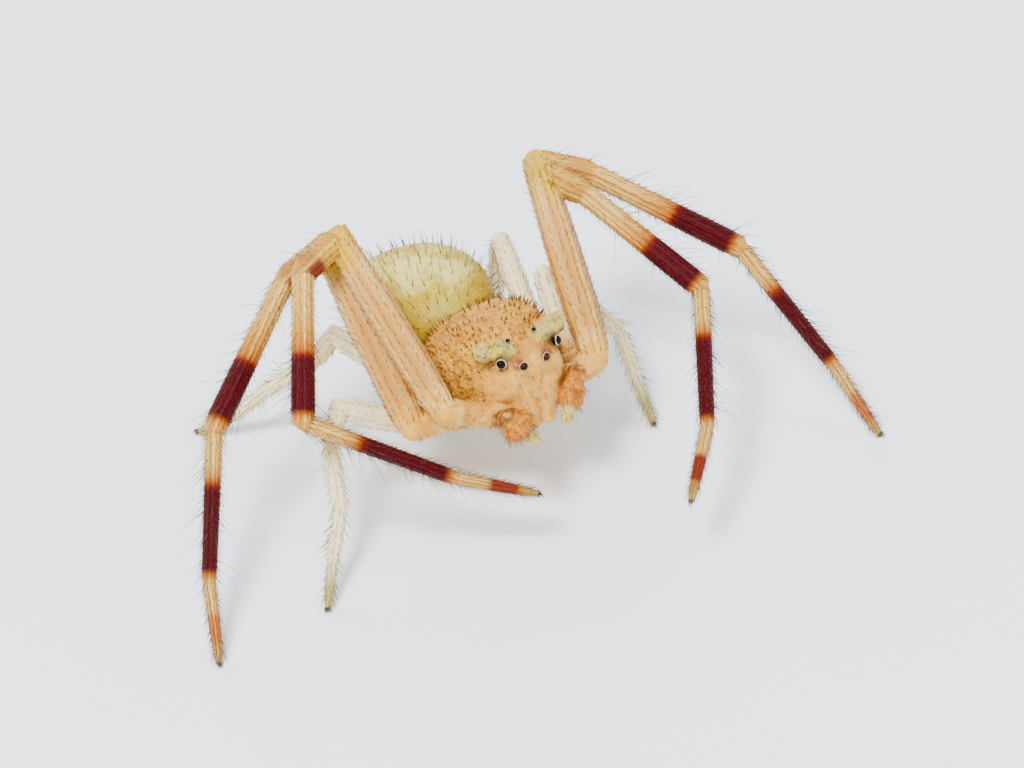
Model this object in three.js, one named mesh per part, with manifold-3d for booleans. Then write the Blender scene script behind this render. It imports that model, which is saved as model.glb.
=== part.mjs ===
// A male crab spider as a still, life-size model, standing on six of its eight feet.
// Millimetres, +Z up. It faces -Y and its own left side is +X. "back" below means along +Y.
import * as THREE from "three";
import { mergeVertices } from "three/addons/utils/BufferGeometryUtils.js";
import Module from "manifold-3d";

const wasm = await Module();
wasm.setup();

// Driving dimensions
const GAP = 0.08; // between two nodes that meet
const EYE_GAP = 0.03; // also between a foot and its claws
const CLAW_LENGTH = 0.16;
const CORNER = 1.1; // how far a bent joint's outer corner stands out, in radii
const FACE_HEIGHT = 3.43; // front middle eyes above the floor
const BODY_PITCH = -2.8; // degrees, the rear lower
const BODY_ROLL = 2.6; // degrees, the left side lower
const LIMB_SIDES = 12;
const BODY_SIDES = 28;
const BODY_ROWS = 18;
const SPINE_SIDES = 4;
const UP = new THREE.Vector3(0, 0, 1);

// Body sections: [back, half width, top, widest level, bottom], from between the front middle eyes
const CARAPACE = [
  [-0.12, 0.56, 0.02, -0.45, -0.7],
  [-0.04, 0.7, 0.16, -0.5, -0.78],
  [0.12, 0.8, 0.3, -0.6, -0.84],
  [0.4, 0.9, 0.46, -0.72, -0.95],
  [0.9, 1.14, 0.54, -0.82, -1.04],
  [1.45, 1.34, 0.54, -0.88, -1.1],
  [2.0, 1.34, 0.38, -0.88, -1.1],
  [2.45, 1.14, 0.04, -0.86, -1.06],
  [2.8, 0.76, -0.32, -0.82, -1.0],
  [2.95, 0.42, -0.56, -0.8, -0.94],
];
const ABDOMEN = [
  [2.72, 0.52, -0.1, -0.45, -0.85],
  [2.85, 0.86, 0.06, -0.5, -1.05],
  [3.2, 1.18, 0.24, -0.55, -1.4],
  [3.8, 1.44, 0.4, -0.6, -1.75],
  [4.4, 1.53, 0.42, -0.65, -1.88],
  [5.0, 1.42, 0.28, -0.7, -1.82],
  [5.5, 1.12, 0.0, -0.75, -1.62],
  [5.88, 0.72, -0.34, -0.85, -1.38],
  [6.05, 0.36, -0.6, -0.92, -1.2],
];
const CARAPACE_ROUNDNESS = 0.82; // under 1 fills the section out towards a box
const ABDOMEN_ROUNDNESS = 0.95;

// Leg pairs: lengths of femur, patella, tibia, metatarsus and tarsus, and radii along them
const LEG_LENGTHS = {
  1: [4.06, 1.06, 3.08, 3.24, 1.8],
  2: [4.08, 1.18, 3.36, 3.08, 1.76],
  3: [1.8, 0.76, 1.3, 1.1, 1.02],
  4: [2.28, 0.76, 1.48, 1.18, 1.04],
};
const FRONT_RADII = {
  coxa: 0.36,
  femur: [0.27, 0.36, 0.36, 0.31],
  patella: [0.27, 0.28],
  tibia: [0.23, 0.25, 0.26],
  metatarsus: [0.23, 0.22],
  tarsus: [0.18, 0.15, 0.1],
};
const REAR_RADII = {
  coxa: 0.29,
  femur: [0.22, 0.27, 0.27, 0.23],
  patella: [0.23, 0.23],
  tibia: [0.21, 0.22, 0.22],
  metatarsus: [0.2, 0.19],
  tarsus: [0.16, 0.14, 0.09],
};
const SEGMENTS = ["femur", "patella", "tibia", "metatarsus", "tarsus"];

// Pose of each leg, read from the photo. hip: [outward, back, up] from between the front middle
// eyes. aim: for each segment [swing, lift] in degrees, swing 0 straight ahead and 90 outward.
const POSE = {
  R1: { hip: [1.92, 0.42, -0.55], aim: [[174, 45], [78, -11], [38, -40], [-51, -27], [-59, -21]] },
  L1: { hip: [1.62, 0.23, -0.86], aim: [[164, 43], [35, -23], [22, -29], [-35, -23], [-49, -22]] },
  R2: { hip: [2.27, 1.14, -1.19], aim: [[-178, 47], [84, -15], [65, -29], [41, -42], [29, -46]] },
  L2: { hip: [2.16, 1.09, -1.43], aim: [[166, 48], [42, -11], [36, -24], [16, -43], [14, -49]] },
  R3: { hip: [2.02, 1.71, -1.53], aim: [[97, 34], [53, -35], [26, -56], [49, -40], [47, -43]] },
  L3: { hip: [1.87, 1.68, -1.73], aim: [[165, 43], [52, -42], [42, -45], [-13, -44], [-10, -46]] },
  R4: { hip: [1.44, 2.01, -1.13], aim: [[160, 15], [134, -54], [141, -39], [138, -42], [140, -32]] },
  L4: { hip: [1.35, 2.02, -1.24], aim: [[165, 33], [165, -54], [161, -68], [163, -58], [164, -26]] },
};
const RAISED = ["R1", "L1"]; // these two feet are held clear of the floor
const COXA_ROOTS = { 1: [0.5, 0.62], 2: [0.62, 1.08], 3: [0.6, 1.6], 4: [0.42, 2.05] }; // [outward, back]
const COXA_LEVEL = -1.36;

// Eyes: [outward, back, up, radius]
const EYES = {
  front_middle: [0.264, -0.08, 0.05, 0.09],
  front_side: [0.665, 0.1, 0.18, 0.105],
  rear_middle: [0.31, 0.36, 0.45, 0.065],
  rear_side: [1.0, 0.53, 0.36, 0.07],
};

// Palps: places as [outward, back, up] on the body, and the swollen tip's radius
const PALPS = {
  R: {
    elbow: [0.98, 0.02, -0.98],
    wrist: [0.98, -0.28, -0.86],
    bulb: [0.9, -0.5, -0.88],
    tip: [0.6, -0.66, -1.24],
    radius: 0.34,
  },
  L: {
    elbow: [1.0, 0.12, -0.72],
    wrist: [0.95, -0.14, -0.6],
    bulb: [0.74, -0.3, -0.7],
    tip: [0.34, -0.56, -1.22],
    radius: 0.26,
  },
};

const SIDES = [["R", -1], ["L", 1]];
const COLOURS = {
  peach: 0xeebb8c,
  cream: 0xf3e2c4,
  pale: 0xeeeadb,
  yellow_green: 0xdfd9a0,
  maroon: 0x5a1020,
  orange: 0xd98a52,
  black: 0x14100f,
};

// Vectors and rings

const v3 = (x, y, z) => new THREE.Vector3(x, y, z);
const mix = (a, b, t) => a.clone().lerp(b, t);

const bodyTurn = new THREE.Matrix4().makeRotationX(THREE.MathUtils.degToRad(BODY_PITCH));
bodyTurn.multiply(new THREE.Matrix4().makeRotationY(THREE.MathUtils.degToRad(BODY_ROLL)));
bodyTurn.setPosition(0, 0, FACE_HEIGHT);
const onBody = (x, y, z) => v3(x, y, z).applyMatrix4(bodyTurn);

// A ring of points round `centre`, counter-clockwise about `axis`, starting on the side `towards`.
function ring(centre, axis, towards, radiusU, radiusV, sides) {
  const u = towards.clone().addScaledVector(axis, -towards.dot(axis)).normalize();
  const v = axis.clone().cross(u);
  return Array.from({ length: sides }, (_, i) => {
    const angle = (2 * Math.PI * i) / sides;
    const out = centre.clone().addScaledVector(u, radiusU * Math.cos(angle));
    return out.addScaledVector(v, radiusV * Math.sin(angle));
  });
}

// Slides each point of a ring along `axis` until it lies in the plane through `point`.
function ontoPlane(points, axis, point, normal) {
  return points.map((p) => {
    const travel = point.clone().sub(p).dot(normal) / axis.dot(normal);
    return p.clone().addScaledVector(axis, travel);
  });
}

function centreOf(points) {
  const sum = points.reduce((total, p) => total.add(p), v3(0, 0, 0));
  return sum.multiplyScalar(1 / points.length);
}

// A closed skin through the rings, with a fan at each end.
function loft(rings) {
  const sides = rings[0].length;
  const points = rings.flat();
  const faces = [];
  for (let i = 0; i + 1 < rings.length; i++) {
    for (let j = 0; j < sides; j++) {
      const a = i * sides + j;
      const b = i * sides + ((j + 1) % sides);
      faces.push(a, b, b + sides, a, b + sides, a + sides);
    }
  }
  const first = points.push(centreOf(rings[0])) - 1;
  const last = points.push(centreOf(rings.at(-1))) - 1;
  const lastRing = (rings.length - 1) * sides;
  for (let j = 0; j < sides; j++) {
    const next = (j + 1) % sides;
    faces.push(first, next, j);
    faces.push(last, lastRing + j, lastRing + next);
  }
  return solid(points, faces);
}

// Solids

function solid(points, faces) {
  const mesh = new wasm.Mesh({
    numProp: 3,
    vertProperties: new Float32Array(points.flatMap((p) => [p.x, p.y, p.z])),
    triVerts: new Uint32Array(faces),
  });
  return new wasm.Manifold(mesh);
}

const joined = (pieces) => pieces.reduce((all, piece) => all.add(piece));

function geometryOf(made) {
  const largest = made.decompose().reduce((a, b) => (a.volume() > b.volume() ? a : b));
  const mesh = largest.getMesh();
  const geometry = new THREE.BufferGeometry();
  geometry.setAttribute("position", new THREE.BufferAttribute(mesh.vertProperties, 3));
  geometry.setIndex(new THREE.BufferAttribute(mesh.triVerts, 1));
  const merged = mergeVertices(geometry, 1e-4);
  merged.computeVertexNormals();
  return merged;
}

const nodes = new Map();

function node(name, made, colour) {
  const material = new THREE.MeshStandardMaterial({ color: COLOURS[colour], roughness: 0.6 });
  const mesh = new THREE.Mesh(geometryOf(made), material);
  mesh.name = name;
  nodes.set(name, mesh);
}

// A round-ended bar through `points` with a radius at each, the ends drawn in by `rounding`.
function bar(points, radii, sides = LIMB_SIDES, rounding = 0.5) {
  const rings = points.map((p, i) => {
    const before = points[Math.max(i - 1, 0)];
    const after = points[Math.min(i + 1, points.length - 1)];
    const axis = after.clone().sub(before).normalize();
    return ring(p, axis, sideways(axis), radii[i], radii[i], sides);
  });
  const cap = (from, to, radius) => {
    const axis = to.clone().sub(from).normalize();
    const centre = to.clone().addScaledVector(axis, radius * rounding);
    return { centre, axis };
  };
  const start = cap(points[1], points[0], radii[0]);
  const end = cap(points.at(-2), points.at(-1), radii.at(-1));
  const back = start.axis.clone().negate();
  rings.unshift(ring(start.centre, back, sideways(back), radii[0] * 0.55, radii[0] * 0.55, sides));
  const tip = radii.at(-1) * 0.55;
  rings.push(ring(end.centre, end.axis, sideways(end.axis), tip, tip, sides));
  return loft(rings);
}

// A steady sideways direction for a bar's ring, so that neighbouring rings don't twist.
function sideways(axis) {
  const helper = Math.abs(axis.z) < 0.85 ? UP : v3(0, 1, 0);
  return helper.clone().cross(axis).normalize();
}

// A cone that stands on a surface with its foot sunk in it.
function spine(foot, direction, length, radius) {
  const axis = direction.clone().normalize();
  const side = sideways(axis);
  const sunk = foot.clone().addScaledVector(axis, -radius);
  const base = ring(sunk, axis, side, radius, radius, SPINE_SIDES);
  const points = [...base, foot.clone().addScaledVector(axis, length)];
  const faces = [];
  for (let j = 0; j < SPINE_SIDES; j++) {
    faces.push(j, (j + 1) % SPINE_SIDES, SPINE_SIDES);
    if (j > 0 && j + 1 < SPINE_SIDES) faces.push(0, j + 1, j);
  }
  return solid(points, faces);
}

// Body shells

// Section values at a place along a body table, eased between its rows.
function sectionAt(table, back) {
  const last = table.length - 1;
  let i = table.findIndex((row) => row[0] >= back);
  i = THREE.MathUtils.clamp(i < 0 ? last : i, 1, last);
  const t = (back - table[i - 1][0]) / (table[i][0] - table[i - 1][0]);
  const rows = [Math.max(i - 2, 0), i - 1, i, Math.min(i + 1, last)].map((k) => table[k]);
  return rows[0].map((_, k) => catmull(rows.map((row) => row[k]), t));
}

function catmull([a, b, c, d], t) {
  const slopeB = (c - a) / 2;
  const slopeC = (d - b) / 2;
  const t2 = t * t;
  const t3 = t2 * t;
  return (2 * t3 - 3 * t2 + 1) * b + (t3 - 2 * t2 + t) * slopeB
    + (3 * t2 - 2 * t3) * c + (t3 - t2) * slopeC;
}

// A point of a body shell. Angle 0 is the left side, 90 degrees the top.
function shellPoint(table, roundness, back, angle, grow = 0) {
  const [, half, top, level, bottom] = sectionAt(table, back);
  const c = Math.cos(angle);
  const s = Math.sin(angle);
  const x = Math.sign(c) * Math.abs(c) ** roundness * (half + grow);
  const rise = s >= 0 ? top - level + grow : level - bottom + grow;
  const z = level + Math.sign(s) * Math.abs(s) ** roundness * rise;
  return v3(x, back, z);
}

function shell(table, roundness, grow = 0) {
  const from = table[0][0];
  const to = table.at(-1)[0];
  const rings = [];
  for (let i = 0; i <= BODY_ROWS; i++) {
    const t = (1 - Math.cos((Math.PI * i) / BODY_ROWS)) / 2;
    const back = from + (to - from) * t;
    const outward = grow * Math.cos(Math.PI * (1 - i / BODY_ROWS));
    const points = [];
    for (let j = 0; j < BODY_SIDES; j++) {
      const p = shellPoint(table, roundness, back, (-2 * Math.PI * j) / BODY_SIDES, grow);
      points.push(onBody(p.x, p.y + outward, p.z));
    }
    rings.push(points);
  }
  return loft(rings);
}

// Where a spine stands on a body shell, and which way is out of it there.
function shellFoot(table, roundness, back, angle) {
  const d = 0.02;
  const p = shellPoint(table, roundness, back, angle);
  const along = shellPoint(table, roundness, back + d, angle).sub(p);
  const around = shellPoint(table, roundness, back, angle + d).sub(p);
  const out = along.cross(around).normalize().negate();
  if (out.dot(v3(p.x, 0, p.z + 0.6)) < 0) out.negate();
  const foot = onBody(p.x, p.y, p.z);
  const tip = onBody(p.x + out.x, p.y + out.y, p.z + out.z);
  return { foot, out: tip.sub(foot) };
}

// Rows of short spines over the top of a shell: every second row is set half a step along.
function shellSpines(table, roundness, field) {
  const spines = [];
  for (let i = 0; i < field.rows; i++) {
    const back = THREE.MathUtils.lerp(field.from, field.to, i / (field.rows - 1));
    const half = sectionAt(table, back)[1];
    const count = Math.max(3, Math.round((field.arc * half * 2) / field.spacing));
    for (let j = 0; j < count; j++) {
      const t = (j + (i % 2 ? 0.75 : 0.25)) / count;
      const angle = THREE.MathUtils.lerp(field.low, Math.PI - field.low, t);
      const wander = Math.sin(i * 12.9 + j * 78.2);
      const { foot, out } = shellFoot(table, roundness, back + 0.05 * wander, angle);
      const lean = out.addScaledVector(v3(0, field.lean, 0), 1).normalize();
      spines.push(spine(foot, lean, field.length * (1 + 0.25 * wander), field.radius));
    }
  }
  return spines;
}

// Legs

const sideOf = (leg) => (leg[0] === "L" ? 1 : -1);

function aimed(side, swing, lift) {
  const s = THREE.MathUtils.degToRad(swing);
  const l = THREE.MathUtils.degToRad(lift);
  return v3(side * Math.sin(s) * Math.cos(l), -Math.cos(s) * Math.cos(l), Math.sin(l));
}

// The leg's joints, from the hip to the foot. A standing leg's foot is put on the floor.
function jointsOf(leg) {
  const { hip, aim } = POSE[leg];
  const side = sideOf(leg);
  const joints = [v3(side * hip[0], hip[1], FACE_HEIGHT + hip[2])];
  aim.forEach(([swing, lift], i) => {
    const reach = aimed(side, swing, lift).multiplyScalar(LEG_LENGTHS[leg[1]][i]);
    joints.push(joints.at(-1).clone().add(reach));
  });
  // the claws take up the last of the length
  const foot = joints.at(-1);
  const back = joints.at(-2).clone().sub(foot).setLength(CLAW_LENGTH * 0.7);
  foot.add(back);
  if (!RAISED.includes(leg)) foot.z = 0;
  return joints;
}

// The bend at joint `i`: the normal of the plane halfway round it, the way its outer corner
// points, and the cosine of half its angle.
function bendAt(joints, i) {
  const before = joints[i].clone().sub(joints[i - 1]).normalize();
  const after = joints[i + 1].clone().sub(joints[i]).normalize();
  const normal = before.clone().add(after).normalize();
  return { normal, outer: before.clone().sub(after).normalize(), cosine: before.dot(normal) };
}

// Cuts a ring off in the plane halfway round a bend, moved by `shift` along the limb. The outer
// corner is drawn in to CORNER times the radius, so that a sharp knee stays blunt.
function mitre(points, axis, joints, i, shift) {
  const { normal, outer, cosine } = bendAt(joints, i);
  const centre = joints[i].clone().addScaledVector(normal, shift);
  const squeeze = Math.min(1, CORNER * cosine) - 1;
  return ontoPlane(points, axis, centre, normal).map((p) => {
    const across = p.clone().sub(centre).dot(outer);
    return p.addScaledVector(outer, across * squeeze);
  });
}

// How far the inner side of a bend's cut reaches along the limb from its joint.
function mitreReach(joints, i, radius) {
  const { cosine } = bendAt(joints, i);
  return radius * Math.sqrt(1 / (cosine * cosine) - 1);
}

// One leg node: straight segments from joint `from` to joint `to`, mitred where they bend.
function limb(joints, from, to, radii, startShift, endShift) {
  const rings = [];
  let side = sideways(joints[from + 1].clone().sub(joints[from]).normalize());
  for (let s = from; s < to; s++) {
    const span = joints[s + 1].clone().sub(joints[s]);
    const length = span.length();
    const axis = span.normalize();
    const table = radii[s - from];
    const slice = (t) => {
      const at = t * (table.length - 1);
      const k = Math.min(Math.floor(at), table.length - 2);
      const radius = THREE.MathUtils.lerp(table[k], table[k + 1], at - k);
      return ring(mix(joints[s], joints[s + 1], t), axis, side, radius * 0.94, radius, LIMB_SIDES);
    };
    const bent = s + 2 < joints.length;
    const clear = 0.04 / length;
    const start = mitreReach(joints, s, table[0]) / length + clear;
    const stop = bent ? 1 - mitreReach(joints, s + 1, table.at(-1)) / length - clear : 0.9;
    const inner = table.map((_, i) => i / (table.length - 1)).slice(1, -1);
    const kept = [start, ...inner.filter((t) => t > start && t < stop), stop].map(slice);
    // two straight segments share the ring in the plane of their bend
    if (s === from) rings.push(mitre(slice(0), axis, joints, s, startShift));
    rings.push(...kept);
    const shift = s + 1 === to ? -endShift : 0;
    rings.push(bent ? mitre(slice(1), axis, joints, s + 1, shift) : slice(1));
    side = side.clone().addScaledVector(axis, -side.dot(axis)).normalize();
  }
  return rings;
}

// Spines in two rows along the underside of a front leg's segment.
function limbSpines(a, b, radius, count, length) {
  const axis = b.clone().sub(a).normalize();
  const side = sideways(axis);
  const under = axis.clone().cross(side);
  if (under.z > 0) under.negate();
  const spines = [];
  for (let i = 0; i < count; i++) {
    const t = 0.18 + (0.7 * i) / (count - 1);
    const lean = side.clone().multiplyScalar(i % 2 ? 0.75 : -0.75).add(under).normalize();
    const foot = mix(a, b, t).addScaledVector(lean, radius * 0.85);
    spines.push(spine(foot, lean.clone().addScaledVector(axis, 0.9), length, 0.06));
  }
  return spines;
}

// Two hooked claws side by side in front of a foot. A standing foot's claws lie along the floor.
function claws(leg, joints, tipRadius) {
  const axis = joints.at(-1).clone().sub(joints.at(-2)).normalize();
  const side = sideways(axis);
  const standing = !RAISED.includes(leg);
  const forward = standing ? axis.clone().setZ(0).normalize() : axis;
  const reach = standing ? tipRadius : 0;
  const root = joints.at(-1).clone().addScaledVector(forward, reach + EYE_GAP + 0.05);
  if (standing) root.z = 0.12;
  const pair = [-1, 1].map((s) => {
    const start = root.clone().addScaledVector(side, s * 0.032);
    const end = start.clone().addScaledVector(forward, CLAW_LENGTH - 0.05);
    return bar([start, end.add(v3(0, 0, -0.05))], [0.055, 0.02], 6, 0.4);
  });
  return joined(pair);
}

function coxa(leg, joints, grow = 0) {
  const radii = leg[1] < 3 ? FRONT_RADII : REAR_RADII;
  const [outward, back] = COXA_ROOTS[leg[1]];
  const root = onBody(sideOf(leg) * outward, back, COXA_LEVEL);
  const path = [root, ...joints];
  const axis = joints[0].clone().sub(root).normalize();
  const side = sideways(axis);
  // wider at the coxa and again at the trochanter, with a waist between them
  const widths = [[0, 0.8], [0.25, 1], [0.5, 0.88], [0.72, 1], [1, 0.85]];
  const rings = widths.map(([t, w]) => {
    const radius = radii.coxa * w + grow;
    return ring(mix(root, joints[0], t), axis, side, radius, radius, LIMB_SIDES);
  });
  rings.push(mitre(rings.pop(), axis, path, 1, grow - GAP / 2));
  return { made: loft(rings), path };
}

// Body nodes

const carapaceShell = (grow = 0) => {
  const tubercles = SIDES.map(([, s]) => {
    const root = onBody(s * 0.45, 0.5, 0.1);
    const middle = onBody(s * 0.72, 0.46, 0.27);
    const tip = onBody(s * 0.92, 0.42, 0.38);
    return bar([root, middle, tip], [0.36 + grow, 0.28 + grow, 0.17 + grow]);
  });
  return joined([shell(CARAPACE, CARAPACE_ROUNDNESS, grow), ...tubercles]);
};

const eyeSpots = Object.entries(EYES).flatMap(([name, [x, y, z, radius]]) =>
  SIDES.map(([letter, s]) => ({
    name: `${letter}_${name}_eye`,
    centre: onBody(s * x, y, z),
    radius,
  })),
);

function ball(centre, radius) {
  const sphere = new THREE.SphereGeometry(radius, 10, 6);
  sphere.deleteAttribute("normal");
  sphere.deleteAttribute("uv");
  const welded = mergeVertices(sphere, radius * 1e-3);
  const at = welded.attributes.position;
  const points = Array.from({ length: at.count }, (_, i) =>
    v3(at.getX(i), at.getY(i), at.getZ(i)).add(centre),
  );
  return solid(points, [...welded.index.array]);
}

// Head and chest: spines over the back and sides, none on the face or by the eyes
const carapaceSpines = shellSpines(CARAPACE, CARAPACE_ROUNDNESS, {
  from: 0.75, to: 2.7, rows: 7, low: 0.35, arc: 1.5, spacing: 0.46,
  length: 0.14, radius: 0.07, lean: -0.25,
});
let carapace = joined([carapaceShell(), ...carapaceSpines]);
for (const eye of eyeSpots) carapace = carapace.subtract(ball(eye.centre, eye.radius + EYE_GAP));
node("carapace", carapace, "peach");
for (const eye of eyeSpots) node(eye.name, ball(eye.centre, eye.radius), "black");

// Underside: a heart-shaped sternum that the eight coxae and trochanters grow from
const legs = Object.fromEntries(Object.keys(POSE).map((leg) => [leg, jointsOf(leg)]));
const coxae = Object.fromEntries(Object.keys(POSE).map((leg) => [leg, coxa(leg, legs[leg])]));
const sternumPath = [0.5, 0.9, 1.5, 2.1, 2.4].map((back) => onBody(0, back, -1.42));
const sternum = loft(
  sternumPath.map((centre, i) =>
    ring(centre, v3(0, 1, 0), v3(1, 0, 0), [0.4, 0.62, 0.7, 0.5, 0.2][i], 0.2, LIMB_SIDES),
  ),
);
const underside = joined([sternum, ...Object.values(coxae).map((c) => c.made)]);
node("sternum_and_coxae", underside.subtract(carapaceShell(GAP)), "peach");

// Jaws, each with its fang folded behind it, and the mouthparts
const jaw = (s, grow = 0) => {
  const line = [onBody(s * 0.27, 0.02, -0.95), onBody(s * 0.25, -0.08, -1.12), onBody(s * 0.21, -0.14, -1.3)];
  return bar(line, [0.23 + grow, 0.22 + grow, 0.15 + grow]);
};
for (const [letter, s] of SIDES) {
  node(`${letter}_chelicera`, jaw(s).subtract(carapaceShell(GAP)), "peach");
  const fangRoot = onBody(s * 0.19, -0.02, -1.47);
  const fangTip = onBody(s * 0.05, 0.04, -1.5);
  const fang = bar([fangRoot, fangTip], [0.055, 0.03], 8);
  node(`${letter}_fang`, fang.subtract(jaw(s, EYE_GAP)), "orange");
}
const endites = SIDES.map(([, s]) =>
  bar([onBody(s * 0.3, 0.42, -1.3), onBody(s * 0.2, 0.28, -1.42)], [0.14, 0.12]),
);
const labium = bar([onBody(-0.2, 0.42, -1.36), onBody(0.2, 0.42, -1.36)], [0.1, 0.1]);
const sternumRoom = loft(
  [0.42, 2.6].map((back) =>
    ring(onBody(0, back, -1.42), v3(0, 1, 0), v3(1, 0, 0), 1.2, 0.32, LIMB_SIDES),
  ),
);
const mouthparts = joined([...endites, labium]).subtract(carapaceShell(GAP)).subtract(sternumRoom);
node("mouthparts", mouthparts, "peach");

// Palps: a bent arm beside each jaw, then the swollen tip of a grown male
for (const [letter, s] of SIDES) {
  const palp = PALPS[letter];
  const [elbow, wrist, bulb, tip] = ["elbow", "wrist", "bulb", "tip"].map((place) => {
    const [x, y, z] = palp[place];
    return onBody(s * x, y, z);
  });
  const root = onBody(s * 0.52, 0.25, -1.2);
  const line = [bulb, mix(bulb, tip, 0.35), mix(bulb, tip, 0.75), tip];
  const swollen = (grow = 0) => bar(line, [0.8, 1, 0.72, 0.4].map((w) => palp.radius * w + grow));
  const leg = `${letter}1`;
  const rooms = [carapaceShell(GAP), jaw(s, GAP), coxa(leg, legs[leg], GAP).made];
  const arm = bar([root, mix(root, elbow, 0.5), elbow, wrist], [0.15, 0.18, 0.19, 0.2]);
  node(`${letter}_palp_arm`, [...rooms, swollen(GAP)].reduce((a, room) => a.subtract(room), arm), "peach");
  node(`${letter}_palp_tip`, rooms.reduce((a, room) => a.subtract(room), swollen()), "orange");
}

// Waist, abdomen and spinnerets
const abdomenShell = (grow = 0) => shell(ABDOMEN, ABDOMEN_ROUNDNESS, grow);
const waist = bar([onBody(0, 2.4, -1.02), onBody(0, 3.4, -0.98)], [0.2, 0.2]);
node("waist", waist.subtract(carapaceShell(GAP)).subtract(abdomenShell(GAP)), "peach");
const abdomenSpines = shellSpines(ABDOMEN, ABDOMEN_ROUNDNESS, {
  from: 3.0, to: 5.8, rows: 9, low: -0.15, arc: 1.55, spacing: 0.52,
  length: 0.28, radius: 0.06, lean: 0.15,
});
const abdomen = joined([abdomenShell(), ...abdomenSpines]).subtract(carapaceShell(GAP));
node("abdomen", abdomen, "yellow_green");
const spinnerets = joined(
  [[-0.12, 0], [0.12, 0], [0, 0.14]].map(([x, z]) =>
    bar([onBody(x, 5.8, -1.25 + z), onBody(x * 1.3, 6.22, -1.34 + z)], [0.13, 0.08], 10),
  ),
);
node("spinnerets", spinnerets.subtract(abdomenShell(GAP)), "cream");

// Leg nodes
const belowFloor = loft([-4, 0].map((z) => ring(v3(0, 0, z), UP, v3(1, 0, 0), 30, 30, 4)));
for (const [leg, joints] of Object.entries(legs)) {
  const front = leg[1] < 3;
  const radii = front ? FRONT_RADII : REAR_RADII;
  const path = coxae[leg].path;
  const half = GAP / 2;
  const tables = SEGMENTS.map((name) => radii[name]);

  const femur = [loft(limb(path, 1, 2, tables.slice(0, 1), half, half))];
  if (front) femur.push(...limbSpines(joints[0], joints[1], 0.34, 4, 0.16));
  node(`${leg}_femur`, joined(femur), front ? "peach" : "pale");

  const shin = [loft(limb(path, 2, 4, tables.slice(1, 3), half, half))];
  if (front) shin.push(...limbSpines(joints[2], joints[3], 0.25, 6, 0.2));
  node(`${leg}_patella_tibia`, joined(shin), front ? "cream" : "pale");

  const foot = [loft(limb(path, 4, 6, tables.slice(3, 5), half, 0))];
  if (front) foot.push(...limbSpines(joints[3], joints[4], 0.22, 6, 0.2));
  // the floor cuts a small flat under each standing foot
  node(`${leg}_metatarsus_tarsus`, joined(foot).subtract(belowFloor), front ? "maroon" : "pale");
  node(`${leg}_claws`, claws(leg, joints, radii.tarsus.at(-1)), "black");
}

// The frame: the middle of the whole box in X and Y, with the floor at Z = 0
const part = new THREE.Group();
part.name = "crab_spider";
for (const mesh of nodes.values()) part.add(mesh);
const box = new THREE.Box3().setFromObject(part);
const middle = box.getCenter(v3(0, 0, 0));
for (const mesh of nodes.values()) mesh.geometry.translate(-middle.x, -middle.y, 0);

export default part;
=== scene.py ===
"""A male crab spider as a still, life-size model, dressed over its CAD frame.

Lengths here are in millimetres and MM turns them into Blender's metres. The spider faces -Y, its own
left side is +X, and the floor is at Z = 0. "back" means along +Y.
"""

import math

import bpy
import numpy as np
from mathutils import Matrix, Vector
from mathutils.bvhtree import BVHTree


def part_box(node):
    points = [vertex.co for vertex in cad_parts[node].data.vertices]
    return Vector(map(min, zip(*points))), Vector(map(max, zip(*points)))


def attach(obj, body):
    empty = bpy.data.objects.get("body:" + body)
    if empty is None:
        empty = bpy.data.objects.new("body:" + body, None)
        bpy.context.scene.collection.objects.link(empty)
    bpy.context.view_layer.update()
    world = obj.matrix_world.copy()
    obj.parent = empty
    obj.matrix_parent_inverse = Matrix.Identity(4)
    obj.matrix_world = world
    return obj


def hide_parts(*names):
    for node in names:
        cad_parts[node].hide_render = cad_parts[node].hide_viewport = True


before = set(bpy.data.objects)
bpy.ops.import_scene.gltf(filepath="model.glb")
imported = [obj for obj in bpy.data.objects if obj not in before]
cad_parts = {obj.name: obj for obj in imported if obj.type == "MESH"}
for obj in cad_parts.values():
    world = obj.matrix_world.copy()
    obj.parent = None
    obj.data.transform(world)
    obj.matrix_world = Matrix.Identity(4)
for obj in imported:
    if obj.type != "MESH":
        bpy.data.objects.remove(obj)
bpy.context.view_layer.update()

MM = 0.001
rng = np.random.default_rng(7)

# Camera: read from the photo. It looks down at the spider from its front right.
LOOK_AT_BODY = (-0.516, 0.022, -0.316)  # aim, from between the front middle eyes
CAMERA_AZIMUTH = 29.95  # 0 looks along +Y
CAMERA_ELEVATION = 36.65
CAMERA_ROLL = 6.85
CAMERA_DISTANCE = 130.0
CAMERA_LENS = 228.5
SENSOR = 36.0

# The body's place and tilt
FACE_HEIGHT = 3.43
BODY_PITCH = math.radians(-2.8)
BODY_ROLL = math.radians(2.6)

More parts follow.
